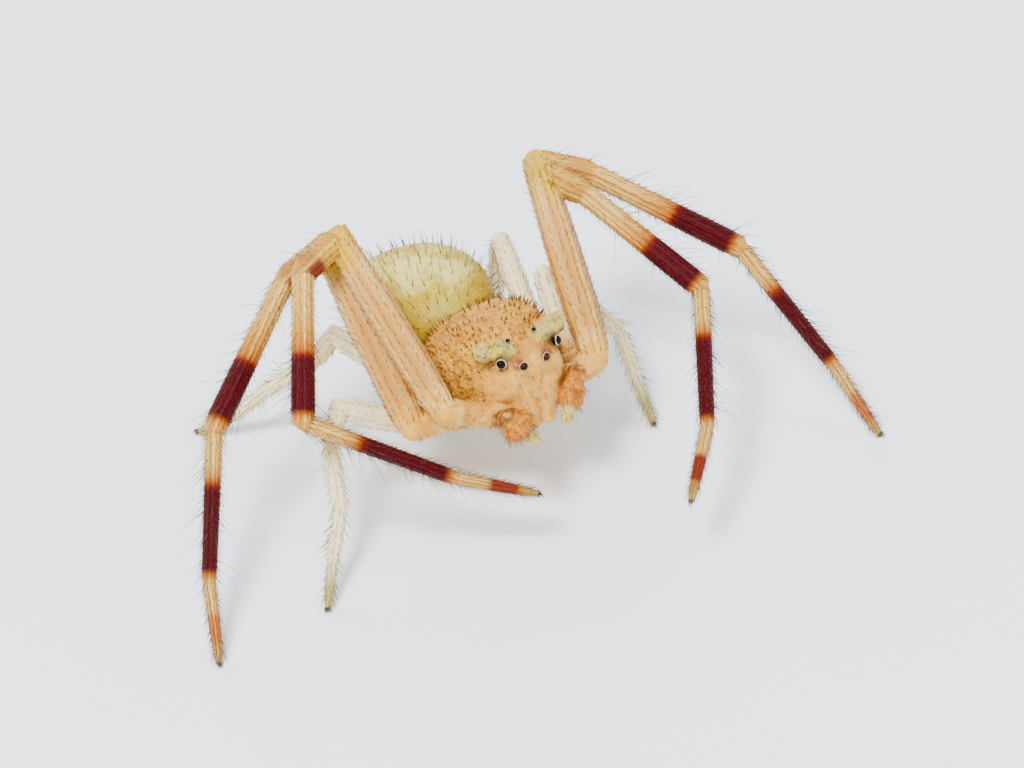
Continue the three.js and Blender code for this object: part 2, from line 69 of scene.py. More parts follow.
# Body sections: [back, half width, top, widest level, bottom], from between the front middle eyes
CARAPACE = [
    [-0.12, 0.50, 0.0, -0.45, -0.7],
    [-0.06, 0.66, 0.13, -0.5, -0.78],
    [0.12, 0.8, 0.3, -0.6, -0.84],
    [0.4, 0.9, 0.46, -0.72, -0.95],
    [0.9, 1.14, 0.54, -0.82, -1.04],
    [1.45, 1.34, 0.54, -0.88, -1.1],
    [2.0, 1.34, 0.38, -0.88, -1.1],
    [2.45, 1.14, 0.04, -0.86, -1.06],
    [2.8, 0.76, -0.32, -0.82, -1.0],
    [2.95, 0.42, -0.56, -0.8, -0.94],
]
ABDOMEN = [
    [2.72, 0.52, -0.1, -0.45, -0.85],
    [2.85, 0.86, 0.06, -0.5, -1.05],
    [3.2, 1.18, 0.24, -0.55, -1.4],
    [3.8, 1.44, 0.4, -0.6, -1.75],
    [4.4, 1.53, 0.42, -0.65, -1.88],
    [5.0, 1.42, 0.28, -0.7, -1.82],
    [5.5, 1.12, 0.0, -0.75, -1.62],
    [5.88, 0.72, -0.34, -0.85, -1.38],
    [6.05, 0.36, -0.6, -0.92, -1.2],
]
CARAPACE_ROUNDNESS = 0.82
ABDOMEN_ROUNDNESS = 0.95

# Legs: segment lengths of each pair, and radii as [place along the segment, radius]
LEG_LENGTHS = {
    "1": [4.06, 1.06, 3.08, 3.24, 1.8],
    "2": [4.08, 1.18, 3.36, 3.08, 1.76],
    "3": [1.8, 0.76, 1.3, 1.1, 1.02],
    "4": [2.28, 0.76, 1.48, 1.18, 1.04],
}
FRONT_RADII = [
    [(0, 0.26), (0.06, 0.31), (0.25, 0.35), (0.6, 0.342), (0.85, 0.308), (0.96, 0.285)],
    [(0, 0.24), (0.15, 0.266), (0.5, 0.275), (0.82, 0.285), (0.95, 0.262), (1, 0.235)],
    [(0, 0.205), (0.035, 0.235), (0.09, 0.222), (0.3, 0.222), (0.7, 0.245), (0.92, 0.25), (0.97, 0.23)],
    [(0, 0.155), (0.04, 0.177), (0.5, 0.167), (0.93, 0.157), (0.97, 0.145)],
    [(0, 0.118), (0.06, 0.135), (0.5, 0.122), (0.85, 0.1), (1, 0.07)],
]
REAR_RADII = [
    [(0, 0.19), (0.07, 0.215), (0.35, 0.25), (0.7, 0.245), (0.92, 0.215), (0.97, 0.2)],
    [(0, 0.18), (0.2, 0.205), (0.5, 0.21), (0.9, 0.195), (0.97, 0.18)],
    [(0, 0.155), (0.1, 0.175), (0.5, 0.185), (0.9, 0.175), (0.97, 0.16)],
    [(0, 0.125), (0.06, 0.145), (0.5, 0.145), (0.93, 0.13), (0.97, 0.12)],
    [(0, 0.1), (0.1, 0.118), (0.5, 0.112), (0.85, 0.09), (1, 0.06)],
]
COXA_RADIUS = {"1": 0.305, "2": 0.305, "3": 0.26, "4": 0.26}
COXA_ROOTS = {"1": (0.5, 0.62), "2": (0.62, 1.08), "3": (0.6, 1.6), "4": (0.42, 2.05)}
COXA_LEVEL = -1.36
# Width of a coxa and trochanter along them, as [place, share of the radius]
COXA_PROFILE = (
    (0, 0.8), (0.2, 1.0), (0.42, 1.02), (0.56, 0.88), (0.66, 0.84), (0.82, 0.95), (0.96, 0.9),
)

# Pose of each leg. hip: (outward, back, up) from between the front middle eyes. aim: for each
# segment (swing, lift) in degrees, swing 0 straight ahead and 90 outward.
POSE = {
    "R1": ((1.92, 0.42, -0.55), [(174, 45), (78, -11), (38, -40), (-51, -27), (-59, -21)]),
    "L1": ((1.62, 0.23, -0.86), [(164, 43), (35, -23), (22, -29), (-35, -23), (-49, -22)]),
    "R2": ((2.27, 1.14, -1.19), [(-178, 47), (84, -15), (65, -29), (41, -42), (29, -46)]),
    "L2": ((2.16, 1.09, -1.43), [(166, 48), (42, -11), (36, -24), (16, -43), (14, -49)]),
    "R3": ((2.02, 1.71, -1.53), [(97, 34), (53, -35), (26, -56), (49, -40), (47, -43)]),
    "L3": ((1.87, 1.68, -1.73), [(165, 43), (52, -42), (42, -45), (-13, -44), (-10, -46)]),
    "R4": ((1.44, 2.01, -1.13), [(160, 15), (134, -54), (141, -39), (138, -42), (140, -32)]),
    "L4": ((1.35, 2.02, -1.24), [(165, 33), (165, -54), (161, -68), (163, -58), (164, -26)]),
}
RAISED = ("R1", "L1")
CLAW_LENGTH = 0.16
FOOT_LEVEL = 0.05  # middle of a standing foot above the floor
SOLE_LEVEL = 0.002  # lowest that the skin of a standing leg comes
CLAW_LEVEL = 0.085  # root of a standing foot's claws above the floor
KNEE_REACH = {"R": 0.8, "L": 0.45}  # how far the outer corner of a knee runs past the joint, in radii
JOINT_BULGE = 0.4  # how far a segment's rounded end runs past its joint, in radii
SHARP_BEND = 0.7  # a bend of about 40 degrees, as the length between two unit vectors
VOXEL = 0.028  # grain of the fused skin
SMOOTHING = 3  # passes of the smoothing after it

# Eyes: (outward, back, up, radius)
EYES = {
    "front_middle": (0.264, -0.08, 0.05, 0.092),
    "front_side": (0.665, 0.1, 0.18, 0.1),
    "rear_middle": (0.31, 0.36, 0.45, 0.055),
    "rear_side": (1.0, 0.53, 0.36, 0.06),
}
SIDES = (("R", -1), ("L", 1))

# Lumps of the glassy eye ridges: (outward, back, up, radius)
LUMPS = (
    (0.5, 0.45, 0.37, 0.15),
    (0.64, 0.47, 0.4, 0.16),
    (0.8, 0.44, 0.41, 0.17),
    (0.93, 0.46, 0.42, 0.145),
    (0.9, 0.35, 0.3, 0.13),
    (0.74, 0.33, 0.33, 0.15),
    (0.56, 0.3, 0.33, 0.12),
)

# Painted shade below the eye ridges and round the eyes, broken into a mottle: (place as outward, back, up),
# radius and strength
SHADED = (
    ((0.66, 0.14, 0.1), 0.26, 0.85),
    ((0.86, 0.26, 0.12), 0.28, 0.85),
    ((0.5, 0.12, 0.22), 0.22, 0.6),
    ((0.36, -0.02, 0.1), 0.2, 0.75),
    ((0.95, 0.5, 0.2), 0.18, 0.6),
)

# Glassy skin of the eye ridges: the ends of its middle line, as (outward, back, up)
GLASS_ENDS = ((0.42, 0.26, 0.35), (1.0, 0.46, 0.4))

# Reddish skin between the eyes: its middle, and its reach each way
BLUSH_PLACE, BLUSH_SHAPE = (0.35, 0.08, 0.22), (1.0, 1.0, 0.8)

# Deep yellow patch at each front corner of the abdomen: its middle, and its reach each way
PATCH_PLACE, PATCH_SHAPE = (0.95, 3.05, -0.1), (1.1, 0.8, 1.3)

# Which material of the skin a face takes
LEG_EDGE = 1.3  # how far from a leg's middle line its own material reaches, in radii
BODY, BELLY, FRONT_1, FRONT_2, REAR = range(5)

# Tubes of the body: rows of (outward, back, up, radius)
EYE_RIDGE = (
    (0.35, 0.5, 0.12, 0.33),
    (0.6, 0.48, 0.2, 0.28),
    (0.78, 0.46, 0.27, 0.22),
    (0.9, 0.44, 0.33, 0.16),
)
JAW = (
    (0.3, 0.14, -0.5, 0.3),
    (0.28, 0.08, -0.8, 0.31),
    (0.24, 0.02, -1.06, 0.285),
    (0.18, -0.07, -1.31, 0.185),
)
JAW_BRIDGE = ((0, 0.12, -0.45, 0.26), (0, 0.1, -0.8, 0.26), (0, 0.06, -1.04, 0.17))
MOUTH_LOBE = ((0.3, 0.5, -1.28, 0.13), (0.2, 0.26, -1.4, 0.1))
WAIST = ((0, 2.5, -0.9, 0.17), (0, 2.9, -0.92, 0.17), (0, 3.2, -0.95, 0.17))
SPINNERET = ((1.0, 5.8, -1.25, 0.085), (1.2, 6.0, -1.3, 0.075), (1.3, 6.17, -1.34, 0.05))
SPINNERET_PLACES = ((-0.12, 0.0), (0.12, 0.0), (-0.1, 0.13), (0.1, 0.13), (0.0, 0.07))  # (across, up)

# Sternum: its level and half height, and its half widths as (back, half width)
STERNUM_LEVEL, STERNUM_HALF_HEIGHT = -1.42, 0.19
STERNUM = ((0.5, 0.4), (0.9, 0.62), (1.5, 0.7), (2.1, 0.5), (2.4, 0.2))

# Palps: places as (outward, back, up), and the radius of the swollen tip
PALP_ROOT = (0.56, 0.36, -1.02)
PALP_ARM_RADII = (0.24, 0.24, 0.2, 0.18, 0.16)
PALP_WRIST_RADII = (0.16, 0.15, 0.15)
PALPS = {
    "R": {"elbow": (0.98, 0.02, -0.98), "wrist": (0.98, -0.28, -0.86),
          "bulb": (0.88, -0.5, -0.84), "tip": (0.58, -0.66, -1.22), "radius": 0.36},
    "L": {"elbow": (1.0, 0.12, -0.72), "wrist": (0.95, -0.14, -0.6),
          "bulb": (0.74, -0.3, -0.7), "tip": (0.34, -0.56, -1.22), "radius": 0.25},
}

# Width of the palp's last joint along it, from bulb to tip, in its radius
PALP_PROFILE = {
    "R": ((-0.1, 0.8), (0.0, 0.92), (0.14, 1.0), (0.3, 1.0), (0.45, 0.9), (0.58, 0.72), (0.68, 0.58),
          (0.85, 0.5), (1.05, 0.42), (1.25, 0.28)),
    "L": ((-0.05, 0.8), (0.1, 0.95), (0.28, 1.05), (0.48, 1.05), (0.62, 0.92), (0.72, 0.74), (0.8, 0.6),
          (0.94, 0.54), (1.1, 0.38)),
}

LEG_SOLIDS = ("femur", "patella_tibia", "metatarsus_tarsus")
FLESH_NODES = ["carapace", "sternum_and_coxae", "mouthparts", "waist", "abdomen", "spinnerets"]
FLESH_NODES += [f"{letter}_{name}" for letter, _ in SIDES for name in ("chelicera", "palp_arm", "palp_tip")]
FLESH_NODES += [f"{leg}_{name}" for leg in POSE for name in LEG_SOLIDS]


# Places

def unit(v):
    return v / np.linalg.norm(v)


def units(rows):
    return rows / np.linalg.norm(rows, axis=1)[:, None]


tilt = Matrix.Rotation(BODY_PITCH, 3, "X") @ Matrix.Rotation(BODY_ROLL, 3, "Y")


def eye_centre(node):
    low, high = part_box(node)
    return (Vector(low) + Vector(high)) / 2 / MM


def face_centre():
    """The origin of the body's axes in the frame, found from the two packed front middle eyes."""
    middle = (eye_centre("R_front_middle_eye") + eye_centre("L_front_middle_eye")) / 2
    back, up = EYES["front_middle"][1:3]
    face = middle - tilt @ Vector((0, back, up))
    face.z = FACE_HEIGHT
    return face


FACE = face_centre()


def on_body(outward, back, up):
    """A place in the frame, from its place in the body's axes."""
    return np.array(FACE + tilt @ Vector((outward, back, up)))


def smooth_step(low, high, x):
    t = np.clip((x - low) / (high - low), 0, 1)
    return t * t * (3 - 2 * t)


# Meshes

DOME_LIFTS = (0.35, 0.62, 0.82, 0.95)  # how far out the rings of a rounded end lie
ACROSS_FIRST = (0.13, 0.07, 1.0)  # the way across that a tube starts from, along no limb


def linked(name, data):
    """A new object in the scene, from its mesh, lamp or camera."""
    made = bpy.data.objects.new(name, data)
    bpy.context.scene.collection.objects.link(made)
    return made


def new_object(name, points, faces, smooth=True):
    """A mesh object from points in millimetres."""
    mesh = bpy.data.meshes.new(name)
    mesh.from_pydata((np.asarray(points, dtype=float) * MM).tolist(), [], faces)
    mesh.update()
    if smooth:
        mesh.polygons.foreach_set("use_smooth", [True] * len(mesh.polygons))
    return linked(name, mesh)


def loft(rings):
    """Points and faces of a closed skin through rings of equal size, with a point at each end."""
    rings = [np.asarray(r, dtype=float) for r in rings]
    sides = len(rings[0])
    points = np.vstack(rings + [rings[0].mean(0)[None], rings[-1].mean(0)[None]])
    first = len(rings) * sides
    faces = []
    for i in range(len(rings) - 1):
        for j in range(sides):
            k = (j + 1) % sides
            faces.append((i * sides + j, i * sides + k, (i + 1) * sides + k, (i + 1) * sides + j))
    last = (len(rings) - 1) * sides
    for j in range(sides):
        k = (j + 1) % sides
        faces.append((first, k, j))
        faces.append((first + 1, last + j, last + k))
    return points, faces


def frames_along(path):
    """Two ways across a path at each of its points, carried along it without twist."""
    path = np.asarray(path, dtype=float)
    step = np.gradient(path, axis=0)
    axis = units(step)
    u = np.zeros_like(path)
    current = np.array(ACROSS_FIRST)
    for i, a in enumerate(axis):
        current = current - a * current.dot(a)
        current /= np.linalg.norm(current)
        u[i] = current
    return u, np.cross(axis, u)


def tube(path, radii, sides):
    """A closed round tube along a path, its ends drawn in to a dome."""
    path, radii = domed([np.asarray(p, dtype=float) for p in path], list(radii))
    u, v = frames_along(path)
    angle = np.linspace(0, 2 * np.pi, sides, endpoint=False)
    c, s = np.cos(angle)[:, None], np.sin(angle)[:, None]
    return loft([p + r * (c * uu + s * vv) for p, r, uu, vv in zip(path, radii, u, v)])


def domed(path, radii):
    """Adds rings past both ends of a path, so that its tube ends in a dome."""
    start, end = unit(path[0] - path[1]), unit(path[-1] - path[-2])
    head = [(path[0] + start * radii[0] * t, radii[0] * math.sqrt(1 - t * t)) for t in DOME_LIFTS]
    tail = [(path[-1] + end * radii[-1] * t, radii[-1] * math.sqrt(1 - t * t)) for t in DOME_LIFTS]
    path = [p for p, _ in reversed(head)] + path + [p for p, _ in tail]
    radii = [r for _, r in reversed(head)] + radii + [r for _, r in tail]
    return path, radii


def catmull(rows, x):
    """Smooth values at x of a table whose first column is the place."""
    rows = np.asarray(rows, dtype=float)
    i = int(np.clip(np.searchsorted(rows[:, 0], x), 1, len(rows) - 1))
    t = (x - rows[i - 1, 0]) / (rows[i, 0] - rows[i - 1, 0])
    a, b, c, d = (rows[k] for k in (max(i - 2, 0), i - 1, i, min(i + 1, len(rows) - 1)))
    m, n = (c - a) / 2, (d - b) / 2
    return ((2 * t**3 - 3 * t**2 + 1) * b + (t**3 - 2 * t**2 + t) * m
            + (3 * t**2 - 2 * t**3) * c + (t**3 - t**2) * n)


def on_shell(table, roundness, back, angle):
    """A place on a body shell. Angle 0 is the left side, a quarter turn the top."""
    _, half, top, level, bottom = catmull(table, back)
    c, s = math.cos(angle), math.sin(angle)
    x = math.copysign(abs(c) ** roundness, c) * half
    rise = top - level if s >= 0 else level - bottom
    return on_body(x, back, level + math.copysign(abs(s) ** roundness, s) * rise)


def shell(table, roundness, rows=90, sides=120):
    start, end = table[0][0], table[-1][0]
    rings = []
    for i in range(rows + 1):
        back = start + (end - start) * (1 - math.cos(math.pi * i / rows)) / 2
        turn = [-2 * math.pi * j / sides for j in range(sides)]
        rings.append([on_shell(table, roundness, back, a) for a in turn])
    return loft(rings)


def joined(parts):
    """Points and faces of several meshes as those of one."""
    faces, offset = [], 0
    for part_points, part_faces in parts:
        faces += [tuple(v + offset for v in f) for f in part_faces]
        offset += len(part_points)
    return np.vstack([part_points for part_points, _ in parts]), faces


def fused(name, parts):
    """One closed skin round several closed meshes, all in millimetres."""
    points, faces = joined(parts)
    mesh = bpy.data.meshes.new(name + "_parts")
    mesh.from_pydata(points.tolist(), [], faces)
    worker = linked(name + "_parts", mesh)
    remesh = worker.modifiers.new("remesh", "REMESH")
    remesh.mode = "VOXEL"
    remesh.voxel_size = VOXEL
    relax = worker.modifiers.new("relax", "SMOOTH")
    relax.factor = 0.5
    relax.iterations = SMOOTHING
    graph = bpy.context.evaluated_depsgraph_get()
    done = bpy.data.meshes.new_from_object(worker.evaluated_get(graph))
    bpy.data.objects.remove(worker)
    bpy.data.meshes.remove(mesh)
    done.name = name
    done.transform(Matrix.Scale(MM, 4))
    done.polygons.foreach_set("use_smooth", [True] * len(done.polygons))
    return linked(name, done)


def paint(piece, name, values):
    layer = piece.data.attributes.new(name, "FLOAT", "POINT")
    layer.data.foreach_set("value", np.asarray(values, dtype=np.float32))


# Hairs and spines: three-sided tapering rods of solid mesh, all of one piece in one mesh

HAIR_STEPS = (0.0, 0.45, 0.8)  # where the rings of a hair lie, before its tip
HAIR_TAPER = 0.75
SUNK = 0.01  # how far a leg hair's root lies under the skin
SPINE_SUNK = 0.015  # the same for the hairs and spines of the body
BRISTLE_RADIUS = 0.0075
HAIR_PATCH = 0.003  # size of each hair's patch on the unwrap


def hairs(name, roots, ways, bends, lengths, radii, tones, unwrap):
    """Curved hairs from their roots. `bends` is how far each tip moves sideways, as a vector."""
    roots, ways, bends = (np.asarray(a, dtype=float) for a in (roots, ways, bends))
    lengths, radii = np.asarray(lengths, dtype=float), np.asarray(radii, dtype=float)
    count = len(roots)
    helper = np.where(np.abs(ways[:, 2:3]) < 0.9, [[0.0, 0.0, 1.0]], [[0.0, 1.0, 0.0]])
    u = units(np.cross(helper, ways))
    v = np.cross(ways, u)
    rings = []
    for t in HAIR_STEPS:
        centre = roots + ways * (lengths * t)[:, None] + bends * t * t
        thick = (radii * (1 - HAIR_TAPER * t))[:, None]
        for k in range(3):
            a = 2 * math.pi * k / 3
            rings.append(centre + thick * (math.cos(a) * u + math.sin(a) * v))
    rings.append(roots + ways * lengths[:, None] + bends)
    points = np.stack(rings, axis=1).reshape(-1, 3)
    per = len(rings)
    faces = []
    for i in range(2):
        for k in range(3):
            m = (k + 1) % 3
            faces.append((i * 3 + k, i * 3 + m, i * 3 + 3 + m, i * 3 + 3 + k))
    tips = [(6 + k, 6 + (k + 1) % 3, 9) for k in range(3)]
    starts = np.arange(count) * per
    quads = (starts[:, None, None] + np.array(faces)[None]).reshape(-1, 4)
    tris = (starts[:, None, None] + np.array(tips)[None]).reshape(-1, 3)
    piece = new_object(name, points, quads.tolist() + tris.tolist())
    paint(piece, "tone", np.repeat(np.asarray(tones, dtype=float), per))
    patch(piece, np.asarray(unwrap, dtype=float), per)
    return piece


def patch(piece, unwrap, per):
    """The OFBake map: each hair is a small patch at its root's place on the skin's unwrap."""
    layer = piece.data.uv_layers.new(name="OFBake")
    corner = np.empty(len(piece.data.loops), dtype=int)
    piece.data.loops.foreach_get("vertex_index", corner)
    hair, place = corner // per, corner % per
    uv = unwrap[hair] + np.stack([place % 3, place // 3], axis=1) / 3.0 * HAIR_PATCH
    layer.data.foreach_set("uv", uv.astype(np.float32).ravel())


# Materials

# Base colours in linear light, chosen so that the lit skin looks like the living one
TOP = (0.515, 0.2, 0.0066)
TOP_DARK = (0.2266, 0.062, 0.0033)
TOP_LIGHT = (0.7004, 0.36, 0.0275)
FACE_SKIN = (0.64, 0.28, 0.026)
FACE_LIGHT = (0.74, 0.4, 0.075)
BLUSH = (0.46, 0.15, 0.02)
COXA_SKIN = (0.76, 0.39, 0.05)
COXA_DARK = (0.6, 0.25, 0.022)
COXA_SPOT = (0.68, 0.35, 0.0)
FEMUR_SKIN = (0.55, 0.26, 0.04)
FEMUR_LIGHT = (0.64, 0.35, 0.085)
FEMUR_WARM = (0.44, 0.155, 0.03)
PALE_LINE = (0.8, 0.56, 0.2)
KNEE_SKIN = (0.52, 0.28, 0.004)
KNEE_YELLOW = (0.62, 0.34, 0.0)
PATELLA_SKIN = (0.5, 0.23, 0.012)
SHIN_SKIN = (0.66, 0.38, 0.07)
SHIN_WARM = (0.5, 0.2, 0.006)
ORANGE = (0.38, 0.095, 0.0)
RED_EDGE = (0.12, 0.004, 0.002)
MAROON = (0.055, 0.0005, 0.003)
TARSUS_RED = (0.21, 0.016, 0.004)
TARSUS_ORANGE = (0.46, 0.11, 0.012)
TIP_SKIN = (0.38, 0.28, 0.06)
ABDOMEN_SKIN = (0.42, 0.33, 0.026)
ABDOMEN_DEEP = (0.4, 0.26, 0.0)
ABDOMEN_PALE = (0.66, 0.58, 0.17)
REAR_SKIN = (0.88, 0.78, 0.47)
REAR_WARM = (0.78, 0.6, 0.27)
REAR_TIP = (0.3, 0.3, 0.09)
PALP_SKIN = (0.52, 0.175, 0.005)
PALP_DARK = (0.24, 0.065, 0.003)
PALP_RING = (0.1, 0.022, 0.002)
COXA_PALE = (0.82, 0.54, 0.16)
PALP_END = (0.68, 0.5, 0.13)
GLASS = (0.44, 0.36, 0.1)
GLASS_YELLOW = (0.6, 0.42, 0.02)
GLASS_DARK = (0.07, 0.035, 0.008)
# Colour of the painted shade below the eye ridges and round the eyes
SHADE = (0.055, 0.02, 0.006)
SPINE_DARK = (0.09, 0.028, 0.005)
SPINE_LIGHT = (0.24, 0.09, 0.014)
HAIR_DARK = (0.028, 0.008, 0.004)
HAIR_LIGHT = (0.26, 0.115, 0.03)
BRISTLE_DARK = (0.03, 0.013, 0.004)
BRISTLE_LIGHT = (0.16, 0.07, 0.014)
RIM_DARK = (0.34, 0.22, 0.1)
RIM_LIGHT = (0.75, 0.62, 0.4)
EYE_BLACK = (0.002, 0.0015, 0.0015)
EYE_GREY = (0.005, 0.003, 0.003)
EYE_DARK_RED = (0.005, 0.0015, 0.001)
EYE_RED = (0.05, 0.009, 0.004)
CLAW_DARK = (0.016, 0.012, 0.009)
CLAW_LIGHT = (0.09, 0.07, 0.04)
FLOOR_DARK = (0.84, 0.87, 0.91)
FLOOR_LIGHT = (0.88, 0.91, 0.95)


class Nodes:
    """A short way to write a material's node tree."""

    def __init__(self, name):
        self.material = bpy.data.materials.new(name)
        self.material.use_nodes = True
        self.tree = self.material.node_tree
        self.shader = self.tree.nodes["Principled BSDF"]

    def add(self, kind, inputs=(), **settings):
        node = self.tree.nodes.new(kind)
        for key, value in settings.items():
            setattr(node, key, value)
        for key, value in dict(inputs).items():
            if hasattr(value, "is_output"):
                self.tree.links.new(value, node.inputs[key])
            else:
                node.inputs[key].default_value = value
        return node

    def link(self, value, key):
        self.tree.links.new(value, self.shader.inputs[key])

    def set(self, **values):
        for key, value in values.items():
            self.shader.inputs[key.replace("_", " ")].default_value = value

    def place(self):
        """Object coordinates in millimetres."""
        at = self.add("ShaderNodeTexCoord").outputs["Object"]
        return self.add("ShaderNodeVectorMath", {0: at, 1: (1 / MM,) * 3}, operation="MULTIPLY").outputs[0]

    def noise(self, at, scale, detail=3.0, rough=0.55):
        settings = {"Vector": at, "Scale": scale, "Detail": detail, "Roughness": rough}
        return self.add("ShaderNodeTexNoise", settings).outputs["Fac"]

    def math(self, operation, a, b=0.0, c=0.0):
        return self.add("ShaderNodeMath", {0: a, 1: b, 2: c}, operation=operation).outputs[0]

    def between(self, value, low, high, to_low=0.0, to_high=1.0):
        settings = {"Value": value, "From Min": low, "From Max": high, "To Min": to_low, "To Max": to_high}
        return self.add("ShaderNodeMapRange", settings, interpolation_type="SMOOTHSTEP").outputs["Result"]

    def blend(self, factor, a, b):
        node = self.add("ShaderNodeMix", data_type="RGBA")
        for key, value in (("Factor", factor), ("A", a), ("B", b)):
            kind = "VALUE" if key == "Factor" else "RGBA"
            socket = next(s for s in node.inputs if s.name == key and s.type == kind)
            if hasattr(value, "is_output"):
                self.tree.links.new(value, socket)
            else:
                socket.default_value = value if key == "Factor" else (*value, 1.0)
        return next(s for s in node.outputs if s.type == "RGBA")

    def ramp(self, factor, stops):
        node = self.add("ShaderNodeValToRGB", {"Fac": factor})
        ramp = node.color_ramp
        while len(ramp.elements) > 1:
            ramp.elements.remove(ramp.elements[-1])
        ramp.elements[0].position, ramp.elements[0].color = stops[0][0], (*stops[0][1], 1.0)
        for position, colour in stops[1:]:
            ramp.elements.new(position).color = (*colour, 1.0)
        return node.outputs["Color"]

    def cells(self, at, scale):
        """Distance from the nearest of scattered points."""
        return self.add("ShaderNodeTexVoronoi", {"Vector": at, "Scale": scale}).outputs["Distance"]

    def product(self, a, b):
        return self.math("MULTIPLY", a, b)

    def attribute(self, name):
        return self.add("ShaderNodeAttribute", attribute_name=name).outputs["Fac"]

    def bump(self, *layers):
        """Bumps laid over one another, each a height and its depth in millimetres."""
        normal = None
        for height, depth in layers:
            inputs = {"Height": height, "Distance": depth * MM, "Strength": 1.0}
            if normal is not None:
                inputs["Normal"] = normal
            normal = self.add("ShaderNodeBump", inputs).outputs["Normal"]
        self.link(normal, "Normal")


def flesh(nodes, depth=0.25, amount=0.3, roughness=0.42):
    nodes.set(Subsurface_Weight=amount, Subsurface_Scale=depth * MM, Roughness=roughness, IOR=1.45)
    nodes.set(Subsurface_Radius=(1.0, 0.6, 0.3), Specular_IOR_Level=0.2)


def coxa_colour(n, at):
    """The warm, mottled colour of the leg roots, which the legs' own colours start from."""
    blotch = n.noise(at, 2.6, 4.0)
    colour = n.ramp(blotch, [(0.36, COXA_DARK), (0.62, COXA_SKIN)])
    spots = n.cells(at, 3.2)
    colour = n.blend(n.between(n.noise(at, 1.7, 3.0), 0.5, 0.62, 0, 0.7), colour, COXA_PALE)
    return n.blend(n.between(spots, 0.3, 0.12, 0.0, 0.85), colour, COXA_SPOT)


def body_material():
    n = Nodes("body_skin")
    at = n.place()
    grain = n.noise(at, 7.0, 5.0, 0.6)
    blotch = n.noise(at, 1.8, 3.0)
    cells = n.cells(at, 9.0)
    colour = n.ramp(blotch, [(0.34, TOP), (0.66, TOP_LIGHT)])
    colour = n.blend(n.between(grain, 0.47, 0.66, 0, 0.7), colour, TOP_DARK)
    colour = n.blend(n.between(n.noise(at, 3.2, 4.0, 0.65), 0.52, 0.66, 0, 0.55), colour, TOP_DARK)
    colour = n.blend(n.between(cells, 0.22, 0.08, 0, 0.5), colour, TOP_LIGHT)
    face = n.ramp(grain, [(0.36, FACE_SKIN), (0.62, FACE_LIGHT)])
    face = n.blend(n.between(n.noise(at, 13.0, 2.0), 0.6, 0.7, 0, 0.6), face, TOP_DARK)
    face = n.blend(n.between(n.noise(at, 2.6, 3.0), 0.5, 0.7, 0, 0.45), face, TOP)
    colour = n.blend(n.attribute("face"), colour, face)
    colour = n.blend(n.attribute("blush"), colour, BLUSH)
    colour = n.blend(n.attribute("under"), colour, coxa_colour(n, at))
    palp = n.ramp(grain, [(0.36, PALP_DARK), (0.56, PALP_SKIN), (0.72, TOP_LIGHT)])
    colour = n.blend(n.attribute("palp"), colour, palp)
    speckle = n.between(n.noise(at, 8.0, 3.0), 0.35, 0.55, 0.25, 0.9)
    colour = n.blend(n.product(n.attribute("palp_ring"), speckle), colour, PALP_RING)
    palp_end = n.ramp(grain, [(0.4, TIP_SKIN), (0.6, PALP_END)])
    colour = n.blend(n.attribute("palp_end"), colour, palp_end)
    glass = n.ramp(n.noise(at, 4.2, 1.5), [(0.4, GLASS), (0.52, GLASS), (0.6, GLASS_YELLOW)])
    glass = n.blend(n.between(n.noise(at, 14.0, 3.0), 0.56, 0.68, 0, 0.7), glass, GLASS_DARK)
    ragged = n.math("SUBTRACT", n.noise(at, 6.0, 3.0), 0.5)
    edge = n.math("MULTIPLY_ADD", ragged, 0.9, n.attribute("tubercle"))
    colour = n.blend(n.between(edge, 0.25, 0.95), colour, glass)
    # Painted shade below the eye ridges and round the eyes, broken up by a noise mottle
    mottle = n.between(n.noise(at, 11.0, 3.0), 0.3, 0.6, 0.35, 1.0)
    colour = n.blend(n.product(n.attribute("eye_shade"), mottle), colour, SHADE)
    n.link(colour, "Base Color")
    flesh(n)
    wart = n.between(cells, 0.0, 0.45, 1.0, 0.0)
    smooth = n.math("MAXIMUM", n.attribute("face"), n.attribute("under"))
    rough = n.math("SUBTRACT", 1.0, n.math("MAXIMUM", n.attribute("palp"), smooth))
    creases = n.math("ABSOLUTE", n.math("SUBTRACT", n.noise(at, 5.0, 4.0), 0.5))
    fold = n.product(creases, n.math("MULTIPLY_ADD", rough, 0.8, 0.2))
    lump = n.product(n.noise(at, 3.0, 1.5), n.attribute("tubercle"))
    pores = n.noise(at, 30.0, 4.0)
    n.bump((n.product(wart, rough), 0.05), (fold, 0.1), (lump, 0.16), (pores, 0.016))
    return n.material


def abdomen_material():
    n = Nodes("abdomen_skin")
    at = n.place()
    cloud = n.noise(at, 1.3, 4.0, 0.6)
    spots = n.cells(at, 9.0)
    colour = n.ramp(cloud, [(0.36, ABDOMEN_DEEP), (0.5, ABDOMEN_SKIN), (0.68, ABDOMEN_PALE)])
    colour = n.blend(n.attribute("rim"), colour, ABDOMEN_SKIN)
    pale = n.product(n.attribute("pale"), n.between(cloud, 0.38, 0.56, 0.1, 0.9))
    colour = n.blend(pale, colour, ABDOMEN_PALE)
    colour = n.blend(n.attribute("patch"), colour, ABDOMEN_DEEP)
    colour = n.blend(n.between(spots, 0.1, 0.4, 0.28, 0.0), colour, ABDOMEN_PALE)
    n.link(colour, "Base Color")
    flesh(n, depth=0.3, amount=0.3, roughness=0.5)
    n.bump((spots, 0.012), (n.noise(at, 14.0, 5.0, 0.6), 0.02))
    return n.material


def leg_coordinates(n):
    along = n.attribute("along")
    around = n.math("ARCTAN2", n.attribute("turn_s"), n.attribute("turn_c"))
    return along, around


def stripes(n, around, count, wander):
    """Long ridges along a limb, from the angle round it."""
    turn = n.math("MULTIPLY_ADD", around, float(count), wander)
    return n.math("MULTIPLY_ADD", n.math("SINE", turn), 0.5, 0.5)


